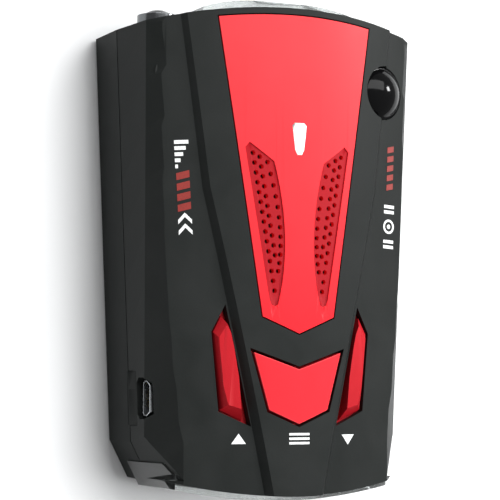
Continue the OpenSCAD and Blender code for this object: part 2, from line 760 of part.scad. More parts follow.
module plunger(p) {
    color("#d9d4c4") raised() rod(p[0], p[1], key_r, board_top + switch_h - 1.2, plunger_top);
}
module up_plunger() { plunger([-blade_key_at[0], blade_key_at[1]]); }
module menu_plunger() { plunger(menu_key_at); }
module down_plunger() { plunger(blade_key_at); }
module key_switches() {
    color("#26282a") raised()
        for (p = [[-blade_key_at[0], blade_key_at[1]], menu_key_at, blade_key_at]) at(p) difference() {
            block(-3, 3, -3, 3, board_top, board_top + switch_h);
            rod(0, 0, key_r + fit_gap, board_top + 1.4, board_top + switch_h + 1);
        }
}

// Round all-round laser lens and what carries it
module dome_lens() {
    color("#0c0d0e") raised() dome_frame() {
        translate([0, 0, -dome_seat]) cylinder(r = dome_r + dome_flange, h = dome_seat);
        intersection() {
            translate([0, 0, dome_h - dome_cap_r]) sphere(r = dome_cap_r, $fn = 96);
            cylinder(r = dome_r, h = reach);
        }
    }
}
module dome_holder() {
    color("#1d1f20") raised() dome_frame() translate([0, 0, -dome_seat - 3.4]) difference() {
        cylinder(r = dome_r - 1.5, h = 3.4);
        translate([0, 0, 1]) cylinder(r = 2.6, h = 4);
        translate([0, 0, -1]) cylinder(r = 1, h = 4);
    }
}
module dome_sensor() {
    color("#3a3440") raised() dome_frame() translate([0, 0, -dome_seat - 2.4]) {
        cylinder(r = 2.5, h = 1);
        cylinder(r = 1.6, h = 1.9);
    }
}

// Bow of the front window, moved in by d: a flat middle between two arcs
module window_bow(d, z0, z1) {
    both() translate([front_window_flat / 2, window_cy, z0])
        cylinder(r = window_r - d, h = z1 - z0, $fn = arc_fn);
    block(-front_window_flat / 2, front_window_flat / 2, window_cy, window_cy + window_r - d, z0, z1);
}

// Bulging front window with a lip behind the wall
module front_window() {
    z0 = front_window_z;
    z1 = front_window_z + front_window_h;
    color("#1a1d20") raised() union() {
        difference() {
            intersection() {
                window_bow(0, z0, z1);
                block(-window_half, window_half, front_y(window_half) - wall - 1, y_front + reach, z0, z1);
            }
            window_bow(wall, z0 - 1, z1 + 1);
        }
        difference() {
            intersection() {
                block(-window_half - 0.8, window_half + 0.8, 0, case_l, z0 - 1.3, z1 + 1.3);
                plan_ends(wall);
            }
            plan_ends(wall + 1);
            block(-window_half + 1.5, window_half - 1.5, 0, case_l, z0 + 1.5, z1 - 1.5);
        }
        // Frame that joins the lip to the window's rim
        difference() {
            intersection() {
                window_bow(wall - eps, z0, z1);
                block(-window_half, window_half, 0, case_l, z0, z1);
            }
            plan_ends(wall + 1);
            block(-window_half + 1.5, window_half - 1.5, 0, case_l, z0 + 1.5, z1 - 1.5);
        }
    }
}
module eye_frame(side) { translate([side * eye_x, 0, eye_z]) rotate([-90, 0, 0]) children(); }
module front_lens(side) {
    eye_frame(side) {
        translate([0, 0, eye_y - wall - 1]) cylinder(r = eye_r, h = wall + 1 + eye_seat);
        intersection() {
            translate([0, 0, eye_y + eye_seat + eye_bulge - eye_cap_r]) sphere(r = eye_cap_r, $fn = 96);
            translate([0, 0, eye_y]) cylinder(r = eye_r, h = reach);
        }
    }
}
module left_front_lens() { color("#16181a") raised() front_lens(-1); }
module right_front_lens() { color("#16181a") raised() front_lens(1); }
module lens_bezels() {
    color("#b9bec2") raised() for (s = [-1, 1]) eye_frame(s) translate([0, 0, eye_y - 0.5]) difference() {
        cylinder(r = bezel_r, h = 0.5 + eye_proud);
        translate([0, 0, -1]) cylinder(r = eye_r + fit_gap / 2, h = 3 + eye_proud);
    }
}
module laser_sensors() {
    color("#3a3440") raised() for (s = [-1, 1]) eye_frame(s) translate([0, 0, eye_y - wall - 5]) {
        cylinder(r = 2.8, h = 1);
        cylinder(r = 2.3, h = 3);
    }
}
module sensor_boards() {
    y0 = eye_y - wall - 6.2;
    color("#1f5a38") raised()
        both() block(eye_x - 4, crease_x(y0) - wall - 0.6, y0, y0 + 1.2, wall, eye_z + 5);
}

// Flared horn, its feed block, and the microwave board behind it
horn_y = [board_front + 5.9, board_front + 9.6, y_front - 5];
horn_z = front_window_z + front_window_h / 2;
module horn_block(y, hw, hh, t) { block(-hw, hw, y, y + t, horn_z - hh, horn_z + hh); }
module horn_antenna() {
    color("#c8ccd0") raised() difference() {
        union() {
            horn_block(horn_y[0], 8, 6, horn_y[1] - horn_y[0]);
            hull() { horn_block(horn_y[1], 8, 6, 0.1); horn_block(horn_y[2] - 0.1, 14.5, 8, 0.1); }
        }
        horn_block(horn_y[0] + 1.2, 6, 3, horn_y[1] - horn_y[0]);
        hull() { horn_block(horn_y[1], 6, 3, 0.1); horn_block(horn_y[2] - 0.1 + eps, 13.3, 6.8, 0.1); }
    }
}
module antenna_board() { color("#1f5a38") raised() horn_block(horn_y[0] - 1.2, 12, 8, 1.2); }
module antenna_shield() {
    color("#aab0b4") raised() difference() {
        horn_block(horn_y[0] - 3.6, 9, 5.5, 2.4);
        horn_block(horn_y[0] - 3.2, 8.6, 5.1, 3);
    }
}
// Pins that carry the antenna board on the main board
module board_header() {
    color("#c9a24a") raised() for (i = [-2 : 2])
        block(i * 2 - 0.3, i * 2 + 0.3, board_front - 3, horn_y[0] - 3.6, board_bottom - 0.6, board_bottom);
}

// Main board and what is soldered to it
module main_board() {
    outline = [[board_x(board_front), board_front], [-board_x(board_front), board_front],
               [-board_x(y_corner), y_corner + 1], [-board_x(y_corner) + 2.4, board_rear],
               [board_x(y_corner) - 2.4, board_rear], [board_x(y_corner), y_corner + 1]];
    color("#1f5a38") raised() difference() {
        prism(outline, board_bottom, board_top);
        for (p = case_screw_at) at(p) rod(0, 0, boss_r + 0.4, 0, clip_h);
        for (p = board_screw_at) at(p) rod(0, 0, board_screw_r + 0.15, 0, clip_h);
    }
}
module on_board(x0, x1, y0, y1, h) { raised() block(x0, x1, y0, y1, board_top, board_top + h); }
module processor() { color("#17191a") on_board(-5, 5, spk[1] - 21.5, spk[1] - 11.5, 1.4); }
module memory_chip() { color("#17191a") on_board(-21, -15, spk[1] - 15, spk[1] - 10.5, 1.5); }
module power_regulator() { color("#202224") on_board(16, 22.5, jack_c[1] - 13.5, jack_c[1] - 7, 2.3); }
module crystal() { color("#c3c7ca") on_board(8.5, 12.5, spk[1] - 21, spk[1] - 10, 3.4); }
module capacitors() {
    color("#2a3350") raised() {
        for (p = [[20.5, spk[1] + 4], [-20.5, spk[1] + 4], [-20.5, spk[1] - 4]])
            at(p) rod(0, 0, 3.15, board_top, board_top + 6.8);
        for (x = [-12, 12]) at([x, board_front - 5]) rod(0, 0, 4, board_bottom - 8, board_bottom);
    }
}
// Rows of small resistors and ceramic capacitors
module small_parts() {
    color("#6b5a44") for (i = [0 : 4], s = [-1, 1])
        on_board(s * 9.5 - 1, s * 9.5 + 1, y_rear + 33 - 2.2 * i, y_rear + 34.2 - 2.2 * i, 0.8);
}

// Display at the driver's end
module display_window() {
    color("#1a1d20") raised() union() {
        difference() {
            intersection() { rear_window_block(-rear_window_proud, rear_bulge); rear_window_zone(0); }
            rear_window_inner(wall + lip_gap + lip_t);
        }
        difference() {
            intersection() {
                rear_window_inner(wall + lip_gap);
                lying(side_crown_r - wall - fit_gap, inner_h - fit_gap);
                block(-case_w, case_w, -case_l, window_end_y + 1.5, rear_window_z - 0.8,
                      rear_window_top + 1.3);
            }
            rear_window_inner(wall + lip_gap + lip_t);
            block(-case_w, case_w, -case_l, window_end_y - 1.5, rear_window_z + 1.5, rear_window_top - 1.5);
        }
    }
}
module rear_window_block(d, bulge) {
    difference() {
        intersection() {
            prism(inset_outline(plan, d), 0, clip_h);
            translate([0, y_rear + rear_r - bulge, -1]) cylinder(r = rear_r, h = clip_h + 2, $fn = arc_fn);
        }
        corner_cuts(d);
    }
}
module rear_window_inner(d) {
    difference() {
        intersection() {
            facet_block(d, rear_ys);
            plan_block(d, 0, clip_h);
        }
        corner_cuts(d);
    }
}
module display_module() {
    color("#22262a") raised()
        block(-19, 19, display_front_y, display_back_y - display_board_t, display_z - 7.5, display_z + 7.5);
}
// Three seven-segment digits
module display_digits() {
    color("#ff5a3c") raised() for (i = [-1 : 1]) translate([i * digit_pitch, 0, display_z]) {
        for (k = [-1 : 1]) segment(0, k * digit_h / 2, digit_w - 1.6, 0.9);
        for (sx = [-1, 1], sz = [-1, 1])
            segment(sx * digit_w / 2, sz * digit_h / 4, 0.9, digit_h / 2 - 1.3);
    }
}
module segment(x, z, w, h) {
    block(x - w / 2, x + w / 2, display_front_y - 0.1, display_front_y, z - h / 2, z + h / 2);
}
module display_board() {
    color("#1f5a38") raised()
        block(-20.5, 20.5, display_back_y - display_board_t, display_back_y, display_z - 9, display_z + 9);
}
module display_pins() {
    color("#c9a24a") raised() for (i = [-4 : 4])
        block(i * 2 - 0.3, i * 2 + 0.3, display_back_y, board_rear + 2, board_bottom - 0.6, board_bottom);
}

// USB socket in the left side
module usb_frame() { translate([-usb_face_x, usb_c, board_top]) rotate([90, 0, 90]) children(); }
module usb_shell() {
    color("#b4b8bb") raised() usb_frame() difference() {
        linear_extrude(height = usb_depth) polygon(usb_outline);
        translate([0, 0, -1]) linear_extrude(height = usb_depth + 0.6)
            polygon(inset_outline(usb_outline, usb_lip));
    }
}
module usb_insulator() {
    color("#17191a") raised() usb_frame() {
        translate([0, 0, usb_depth - 3]) linear_extrude(height = 3 - 0.4 - eps)
            polygon(inset_outline(usb_outline, usb_lip + 0.02));
        translate([-2.3, usb_h * 0.42, 0.8]) cube([4.6, 0.8, usb_depth - 3.4]);
    }
}
module usb_contacts() {
    color("#c9a24a") raised() usb_frame()
        for (i = [-2 : 2])
            translate([i * 0.8 - 0.2, usb_h * 0.42 - 0.15, 1]) cube([0.4, 0.15, usb_depth - 4]);
}
// Power jack and slide switch in the right side
module jack_body() {
    color("#1b1d1e") raised() difference() {
        union() {
            block(jack_c[0] - 7.5, jack_c[0], jack_c[1] - jack_half, jack_c[1] + jack_half,
                  board_top, board_top + jack_h);
            translate(jack_c) rotate([0, 90, 0]) cylinder(r = jack_nose_r, h = jack_nose);
        }
        translate([jack_c[0] - 6, jack_c[1], jack_c[2]]) rotate([0, 90, 0])
            cylinder(r = jack_d / 2, h = 12);
    }
}
module jack_pin() {
    color("#c3c7ca") raised() translate([jack_c[0] - 6, jack_c[1], jack_c[2]]) rotate([0, 90, 0])
        cylinder(r = 0.65, h = 5.5 + jack_nose);
}
module switch_body() {
    color("#b4b8bb") raised() difference() {
        block(switch_c[0] - 4, switch_c[0], switch_c[1] - switch_half - 2, switch_c[1] + switch_half + 2,
              board_top, board_top + 3.8);
        block(switch_c[0] - 2.6, switch_c[0] + 1, switch_c[1] - switch_half - 0.1,
              switch_c[1] + switch_half + 0.1,
              switch_c[2] - slider_h / 2 - 0.1, switch_c[2] + slider_h / 2 + 0.1);
    }
}
module switch_slider() {
    y0 = switch_c[1] - switch_half;
    color("#17191a") raised() block(switch_c[0] - 2.5, crease_x(switch_c[1]) - 0.2, y0, y0 + slider_w,
        switch_c[2] - slider_h / 2, switch_c[2] + slider_h / 2);
}

// Speaker under the panel
module speaker_frame() {
    color("#54585b") raised() at(spk) difference() {
        union() {
            rod(0, 0, spk_r, frame_top - 0.7, frame_top);
            translate([0, 0, magnet_z + magnet_t])
                rotate_extrude() polygon([[0, 0], [magnet_r + 1.5, 0], [magnet_r + 2.5, 0.4],
                                          [spk_r - 2.2, basket_h + eps], [0, basket_h + eps]]);
        }
        translate([0, 0, magnet_z + magnet_t + 0.6])
            rotate_extrude() polygon([[0, 0], [magnet_r + 1, 0], [spk_r - 3, 4.9], [spk_r - 3, 9], [0, 9]]);
        rod(0, 0, 4.5, 0, clip_h);
    }
}
module speaker_magnet() {
    color("#2c2e30") raised() at(spk) difference() {
        rod(0, 0, magnet_r, magnet_z, magnet_z + magnet_t);
        rod(0, 0, 4.5, magnet_z + 0.8, clip_h);
    }
}
module speaker_pole() {
    color("#9a9ea2") raised() at(spk) rod(0, 0, 3.3, magnet_z + 0.8, magnet_z + magnet_t + 0.4);
}
module voice_coil() {
    color("#b0703a") raised() at(spk) difference() {
        rod(0, 0, 4.1, magnet_z + 1.6, frame_top - 2.7);
        rod(0, 0, 3.7, magnet_z, clip_h);
    }
}
module speaker_cone() {
    color("#2b2b2b") raised() at(spk) translate([0, 0, frame_top - 2.7]) {
        rotate_extrude() polygon([[3.3, 0], [4.3, 0], [spk_r - 4.2, 1.9], [spk_r - 4.2, 2.2],
                                  [4.2, 0.35], [3.3, 0.35]]);
        rotate_extrude() polygon([[0, 1.3], [2.2, 0.9], [3.6, 0], [3.6, 0.35], [2.3, 1.2], [0, 1.6]]);
    }
}
module speaker_surround() {
    color("#1c1c1c") raised() at(spk) translate([0, 0, frame_top]) rotate_extrude()
        polygon([[spk_r - 3.9, 0], [spk_r - 0.8, 0], [spk_r - 0.8, 0.25], [spk_r - 2.2, 0.45],
                 [spk_r - 3.1, 0.45], [spk_r - 3.9, 0.2]]);
}
module speaker_gasket() {
    color("#3a3a3a") raised() at(spk) difference() {
        rod(0, 0, spk_r + 0.6, frame_top, spk_seat);
        rod(0, 0, spk_r - 0.75, 0, clip_h);
    }
}
// Stiff leads from the speaker's frame down to the board
module speaker_leads() {
    color("#c9a24a") raised() for (s = [-1, 1]) at(spk) rod(s * 4, lead_y, 0.4, board_top, frame_top - 0.7);
}

module case_screws() {
    color("#6d7175") raised() for (p = case_screw_at) at(p) {
        rod(0, 0, screw_r, head_seat - eps, split_h + 7.6);
        difference() {
            rod(0, 0, case_head_r, head_seat - case_head_t, head_seat);
            for (a = [0, 90]) rotate([0, 0, a]) block(-1.3, 1.3, -0.3, 0.3, 0, head_seat - 0.8);
        }
    }
}
module board_screws() {
    color("#b4b8bb") raised() for (p = board_screw_at) at(p) {
        rod(0, 0, board_screw_r, board_bottom - 5, board_top + eps);
        difference() {
            rod(0, 0, 2, board_top, board_top + 1.3);
            for (a = [0, 90])
                rotate([0, 0, a]) block(-1.2, 1.2, -0.25, 0.25, board_top + 0.6, board_top + 2);
        }
    }
}
module rubber_feet() {
    color("#1a1a1a") for (p = foot_at) at(p) rod(0, 0, foot_r - fit_gap, 0, foot_h + foot_sink);
}
module base_label() { color("#8d9194") raised() block(-12.8, 12.8, -8.8, 8.8, 0.06, 0.2); }

// Printed marks: thin layers of ink on the top
module ink(r, apex) { intersection() { children(); crown_layer(r + ink_t, apex + ink_t, ink_t); } }
module shape(p) { prism(p, board_top, clip_h); }
module slab(x0, x1, y0, y1) { shape([[x0, y0], [x1, y0], [x1, y1], [x0, y1]]); }
module along_mark(x0, y0, x1, y1) {
    translate([x0, y0, 0]) rotate([0, 0, atan2(x0 - x1, y1 - y0)]) children();
}
module left_mark() { along_mark(-24.2, y_rear + 55.2, -25.3, y_rear + 75.8) children(); }
module right_mark() { along_mark(24.7, y_rear + 53.7, 25.6, y_rear + 77.5) children(); }
module chevron(y) {
    shape([[-1.4, y], [0, y + 1.5], [1.4, y], [1.4, y + 0.9], [0, y + 2.4], [-1.4, y + 0.9]]);
}
module slanted_bar(half, y, slant, h) {
    shape([[-half, y], [half, y + slant], [half, y + slant + h], [-half, y + h]]);
}
module white_print() {
    color("#e6e8e8") raised() {
        ink(side_crown_r, side_h) {
            // Rising bars, then two arrow heads, on the left
            left_mark() {
                for (i = [0 : 4]) slab(-1.45, -0.9 + 0.59 * i, 14.4 + 1.3 * i, 15.2 + 1.3 * i);
                for (i = [0, 1]) chevron(0.2 + 2.3 * i);
            }
            // A ring with a centre dot between two bars, on the right
            right_mark() {
                translate([0, 5.2, board_top]) {
                    difference() {
                        cylinder(r = 1.6, h = reach * 2);
                        translate([0, 0, -1]) cylinder(r = 1.1, h = reach * 3);
                    }
                    cylinder(r = 0.5, h = reach * 2);
                }
                for (i = [0, 1]) slab(-1.5, 1.5, 0.3 + 1.2 * i, 1 + 1.2 * i);
                for (i = [0, 1]) slab(-1.5, 1.5, 8.1 + 1.2 * i, 8.8 + 1.2 * i);
            }
            // Arrow marks of the two outer keys
            translate([-12.9, y_rear + key_mark_y, 0]) shape([[-1.6, -1], [1.6, -1], [0, 1.2]]);
            translate([13.2, y_rear + key_mark_y - 0.2, 0]) shape([[-1.6, 1], [0, -1.2], [1.6, 1]]);
        }
        // List mark of the middle key
        ink(centre_crown_r, case_h) for (i = [-1 : 1])
            translate([0, y_rear + key_mark_y + 0.1 + 0.95 * i, 0]) slab(-2.4, 2.4, -0.25, 0.25);
    }
}
module red_print() {
    color("#7a2a26") raised() ink(side_crown_r, side_h) {
        left_mark() for (i = [0 : 3]) slanted_bar(1.35, 5.1 + 2.25 * i, 0.6, 1.5);
        right_mark() for (i = [0 : 4]) slanted_bar(0.95, 13.2 + 2.1 * i, 0.5, 1.3);
    }
}

lower_case();
upper_case();
top_panel();
grille_cloth();
alert_window();
alert_led();
up_key();
menu_key();
down_key();
up_plunger();
menu_plunger();
down_plunger();
key_switches();
dome_lens();
dome_holder();
dome_sensor();
front_window();
left_front_lens();
right_front_lens();
lens_bezels();
laser_sensors();
sensor_boards();
horn_antenna();
antenna_board();
antenna_shield();
board_header();
main_board();
processor();
memory_chip();
power_regulator();
crystal();
capacitors();
small_parts();
display_window();
display_module();
display_digits();
display_board();
display_pins();
usb_shell();
usb_insulator();
usb_contacts();
jack_body();
jack_pin();
switch_body();
switch_slider();
speaker_frame();
speaker_magnet();
speaker_pole();
speaker_surround();
speaker_cone();
voice_coil();
speaker_gasket();
speaker_leads();
case_screws();
board_screws();
rubber_feet();
base_label();
white_print();
red_print();
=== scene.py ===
"""Radar detector: finished shells, materials, stage and camera round the fixed CAD frame."""
import json
import math

import bmesh
import bpy
from bpy.props import FloatProperty, FloatVectorProperty, PointerProperty
from mathutils import Matrix, Vector

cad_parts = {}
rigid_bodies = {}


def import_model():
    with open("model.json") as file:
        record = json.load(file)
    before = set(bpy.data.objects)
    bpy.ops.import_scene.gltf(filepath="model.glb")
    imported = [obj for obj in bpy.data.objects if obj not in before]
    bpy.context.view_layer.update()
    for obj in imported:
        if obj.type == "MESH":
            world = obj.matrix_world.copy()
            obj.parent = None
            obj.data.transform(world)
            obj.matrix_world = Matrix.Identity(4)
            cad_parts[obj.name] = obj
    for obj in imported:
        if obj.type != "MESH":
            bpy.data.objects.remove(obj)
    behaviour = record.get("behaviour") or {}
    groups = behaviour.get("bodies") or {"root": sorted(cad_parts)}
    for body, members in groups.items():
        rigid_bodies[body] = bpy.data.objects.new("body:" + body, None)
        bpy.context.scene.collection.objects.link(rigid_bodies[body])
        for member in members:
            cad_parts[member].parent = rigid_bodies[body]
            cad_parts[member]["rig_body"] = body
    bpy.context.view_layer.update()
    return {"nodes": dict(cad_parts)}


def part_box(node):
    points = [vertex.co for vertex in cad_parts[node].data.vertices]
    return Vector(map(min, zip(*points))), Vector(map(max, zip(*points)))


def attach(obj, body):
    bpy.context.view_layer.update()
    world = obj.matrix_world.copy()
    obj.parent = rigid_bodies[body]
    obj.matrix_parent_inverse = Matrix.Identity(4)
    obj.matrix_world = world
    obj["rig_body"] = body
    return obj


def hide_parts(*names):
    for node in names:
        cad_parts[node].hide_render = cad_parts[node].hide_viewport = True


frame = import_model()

bl_info = {
    "name": "Radar Detector",
    "version": (1, 0, 0),
    "blender": (4, 5, 0),
    "location": "View3D > Sidebar > Detector",
    "description": "Finishes a dash-top radar detector from its CAD frame",
    "category": "Object",
}

MM = 0.001
# A wave texture scaled by per_mm(WAVE * w) has light and dark bands about w millimetres wide.
WAVE = 6.2832
# Points of a CAD mesh nearer to each other than this, in millimetres, are one point.
SAME_POINT = 0.002
# Faces of a CAD mesh that turn by less than this, in degrees, are one face.
SAME_FACE = 0.05
# A face looks along an axis when its normal has more than this along it.
LOOKS_ALONG = 0.3
# A rounded face of a clear window's rim is painted dark, as painted shade, when its normal has more
# than this upwards.
DARK_RIM = 0.2
# The camera and its lights look at this place, in millimetres.
TARGET = (-3.867, 0.281, 16.8)
# The camera's turns about Y, X and Z, in degrees.
CAMERA_TURNS = ((-24.843, "Y"), (3.842, "X"), (0.193, "Z"))


def linear(colour):
    """Scene-linear colour from an sRGB hex value."""
    channels = [int(colour[i:i + 2], 16) / 255 for i in (1, 3, 5)]
    return [c / 12.92 if c <= 0.04045 else ((c + 0.055) / 1.055) ** 2.4 for c in channels]


def colour_property(name, description, colour):
    """A colour that the user may change."""
    return FloatVectorProperty(name=name, description=description, default=linear(colour),
                               size=3, min=0.0, max=1.0, subtype="COLOR")


def length_property(name, description, millimetres, least, most):
    """A length that the user may change."""
    return FloatProperty(name=name, description=description, default=millimetres * MM,
                         min=least * MM, max=most * MM, subtype="DISTANCE", unit="LENGTH",
                         precision=5)


# ---- Nodes and materials ----

def add_node(tree, kind, settings=None, links=None):
    """Adds a node. A key is one of its properties, or the name or number of one of its inputs."""
    node = tree.nodes.new(kind)
    for key, value in (settings or {}).items():
        if isinstance(key, str) and hasattr(node, key):
            setattr(node, key, value)
        else:
            node.inputs[key].default_value = value
    for key, output in (links or {}).items():
        tree.links.new(output, node.inputs[key])
    return node


def open_material(name):
    """A new material with nothing in it: the material, its tree and its Object coordinates."""
    material = bpy.data.materials.new(name)
    material.use_nodes = True
    tree = material.node_tree
    tree.nodes.clear()
    return material, tree, add_node(tree, "ShaderNodeTexCoord").outputs["Object"]


def close_material(tree, settings, paint, rough, bump, metal=None):
    """Ends a material with its shader, which takes its colour, roughness, normal and metal
    share from these nodes. Where one is left out, the shader keeps its setting."""
    nodes = {"Base Color": paint, "Roughness": rough, "Normal": bump, "Metallic": metal}
    links = {key: node.outputs[2 if key == "Base Color" else 0]
             for key, node in nodes.items() if node}
    shader = add_node(tree, "ShaderNodeBsdfPrincipled", settings, links)
    add_node(tree, "ShaderNodeOutputMaterial", None, {"Surface": shader.outputs["BSDF"]})


def per_mm(millimetres):
    """Texture scale that gives features this many millimetres wide."""
    return 1.0 / (millimetres * MM)


def opaque(colour):
    """The colour with its fourth channel."""
    return (*colour[:3], 1.0)


def lighter(colour, share):
    """The colour moved towards white, or towards black with a negative share."""
    goal = 1.0 if share > 0 else 0.0
    return tuple(c + (goal - c) * abs(share) for c in colour[:3])


def moulded_plastic(name, colour, roughness, grain, depth, level, wear=0.10, mottle=0.10):
    """Injection-moulded ABS with a spark-eroded texture: a fine soft grain, faint cloudy flow,
    and edges that handling has polished a little."""
    material, tree, place = open_material(name)
    grains = add_node(tree, "ShaderNodeTexNoise",
                      {"Scale": per_mm(grain), "Detail": 3.0, "Roughness": 0.62}, {"Vector": place})
    pits = add_node(tree, "ShaderNodeTexVoronoi", {"Scale": per_mm(grain * 1.7)}, {"Vector": place})
    height = add_node(tree, "ShaderNodeMath", {"operation": "ADD"},
                      {0: grains.outputs[0], 1: pits.outputs["Distance"]})
    bump = add_node(tree, "ShaderNodeBump", {"Distance": depth * MM},
                    {"Height": height.outputs[0]})
    flow = add_node(tree, "ShaderNodeTexNoise",
                    {"Scale": per_mm(13.0), "Detail": 4.0, "Distortion": 0.8}, {"Vector": place})
    edge = add_node(tree, "ShaderNodeAttribute", {"attribute_name": "edge_wear_and_rim_shade"})
    rubbed = add_node(tree, "ShaderNodeMath", {"operation": "MULTIPLY"},
                      {0: edge.outputs["Fac"], 1: flow.outputs[0]})
    clouds = add_node(tree, "ShaderNodeMix",
                      {"data_type": "RGBA", 6: opaque(lighter(colour, -mottle)),
                       7: opaque(lighter(colour, mottle * 0.12))}, {0: flow.outputs[0]})
    specks = add_node(tree, "ShaderNodeMix",
                      {"data_type": "RGBA", "blend_type": "MULTIPLY", 0: 0.22},
                      {6: clouds.outputs[2], 7: grains.outputs[0]})
    paint = add_node(tree, "ShaderNodeMix",
                     {"data_type": "RGBA", 7: opaque(lighter(colour, wear))},
                     {0: rubbed.outputs[0], 6: specks.outputs[2]})
    gloss = add_node(tree, "ShaderNodeMapRange",
                     {"From Min": 0.3, "From Max": 0.7, "To Min": roughness - 0.05,
                      "To Max": roughness + 0.07}, {"Value": flow.outputs[0]})
    dulled = add_node(tree, "ShaderNodeMath", {"operation": "MULTIPLY", 1: -0.12},
                      {0: rubbed.outputs[0]})
    rough = add_node(tree, "ShaderNodeMath", {"operation": "ADD", "use_clamp": True},
                     {0: gloss.outputs[0], 1: dulled.outputs[0]})
    close_material(tree, {"IOR": 1.52, "Specular IOR Level": level}, paint, rough, bump)
    return material


def satin_red_plastic(name, near, far, roughness, start, end, level):
    """Red ABS moulded in colour with a satin face: a clean sheen with a very fine pearl grain.
    Its colour runs from near to far along Y, lighter at the far, road end: painted light."""
    material, tree, place = open_material(name)
    parts = add_node(tree, "ShaderNodeSeparateXYZ", None, {0: place})
    # Painted light: the colour steps from near to far along Y, so the road end looks lit.
    along = add_node(tree, "ShaderNodeMapRange", {"From Min": start, "From Max": end},
                     {"Value": parts.outputs["Y"]})
    body = add_node(tree, "ShaderNodeMix",
                    {"data_type": "RGBA", 6: opaque(near), 7: opaque(far)},
                    {0: along.outputs[0]})
    pearl = add_node(tree, "ShaderNodeTexNoise",
                     {"Scale": per_mm(0.18), "Detail": 2.0, "Roughness": 0.7}, {"Vector": place})
    haze = add_node(tree, "ShaderNodeTexNoise",
                    {"Scale": per_mm(9.0), "Detail": 3.0, "Distortion": 0.5}, {"Vector": place})
    grained = add_node(tree, "ShaderNodeMix",
                       {"data_type": "RGBA", "blend_type": "MULTIPLY", 0: 0.10},
                       {6: body.outputs[2], 7: pearl.outputs[0]})
    clouded = add_node(tree, "ShaderNodeMix",
                       {"data_type": "RGBA", "blend_type": "SOFT_LIGHT", 0: 0.10},
                       {6: grained.outputs[2], 7: haze.outputs[0]})
    edge = add_node(tree, "ShaderNodeAttribute", {"attribute_name": "edge_wear_and_rim_shade"})
    rubbed = add_node(tree, "ShaderNodeMath", {"operation": "MULTIPLY", 1: 0.5},
                      {0: edge.outputs["Fac"]})
    paint = add_node(tree, "ShaderNodeMix",
                     {"data_type": "RGBA", 7: opaque(lighter(far, 0.05))},
                     {0: rubbed.outputs[0], 6: clouded.outputs[2]})
    gloss = add_node(tree, "ShaderNodeMapRange",
                     {"From Min": 0.3, "From Max": 0.7, "To Min": roughness - 0.04,
                      "To Max": roughness + 0.06}, {"Value": haze.outputs[0]})
    bump = add_node(tree, "ShaderNodeBump", {"Distance": 0.002 * MM},
                    {"Height": pearl.outputs[0]})
    close_material(tree, {"IOR": 1.53, "Specular IOR Level": level}, paint, gloss, bump)
    return material


def polished_plastic(name, colour, clear, roughness=0.04, level=0.5, coat=0.0):
    """Polished optical plastic: a mirror-like skin with faint moulding ripples, fine hairlines
    from wiping, and a dark tint that lets a little light through."""
    material, tree, place = open_material(name)
    ripple = add_node(tree, "ShaderNodeTexNoise",
                      {"Scale": per_mm(11.0), "Detail": 1.0}, {"Vector": place})
    turned = add_node(tree, "ShaderNodeMapping",
                      {"Rotation": (0.0, 0.0, 0.5), "Scale": (1.0, 0.04, 1.0)}, {"Vector": place})
    hairs = add_node(tree, "ShaderNodeTexNoise",
                     {"Scale": per_mm(0.16), "Detail": 2.0}, {"Vector": turned.outputs[0]})
    scratch = add_node(tree, "ShaderNodeMapRange",
                       {"From Min": 0.60, "From Max": 0.72, "To Min": roughness,
                        "To Max": roughness + 0.10}, {"Value": hairs.outputs[0]})
    tint = add_node(tree, "ShaderNodeMix",
                    {"data_type": "RGBA", 6: opaque(colour), 7: opaque(lighter(colour, 0.004))},
                    {0: ripple.outputs[0]})
    bump = add_node(tree, "ShaderNodeBump", {"Distance": 0.02 * MM},
                    {"Height": ripple.outputs[0]})
    close_material(tree, {"IOR": 1.58, "Specular IOR Level": level, "Transmission Weight": clear,
                          "Coat Weight": coat, "Coat Roughness": 0.02, "Coat IOR": 1.6},
                   tint, scratch, bump)
    return material


def milky_plastic(name, colour, glow=0.0):
    """Diffusing acrylic: a pale cloudy body under a smooth skin, with a glow that the body gives
    of its own."""
    material, tree, place = open_material(name)
    cloud = add_node(tree, "ShaderNodeTexNoise",
                     {"Scale": per_mm(1.4), "Detail": 3.0}, {"Vector": place})
    body = add_node(tree, "ShaderNodeMix",
                    {"data_type": "RGBA", 6: opaque(lighter(colour, -0.10)), 7: opaque(colour)},
                    {0: cloud.outputs[0]})
    skin = add_node(tree, "ShaderNodeMapRange", {"To Min": 0.16, "To Max": 0.30},
                    {"Value": cloud.outputs[0]})
    bump = add_node(tree, "ShaderNodeBump", {"Distance": 0.004 * MM},
                    {"Height": cloud.outputs[0]})
    close_material(tree, {"IOR": 1.49, "Subsurface Weight": 0.25, "Subsurface Scale": 0.8 * MM,
                          "Emission Color": opaque(colour), "Emission Strength": glow},
                   body, skin, bump)
    return material


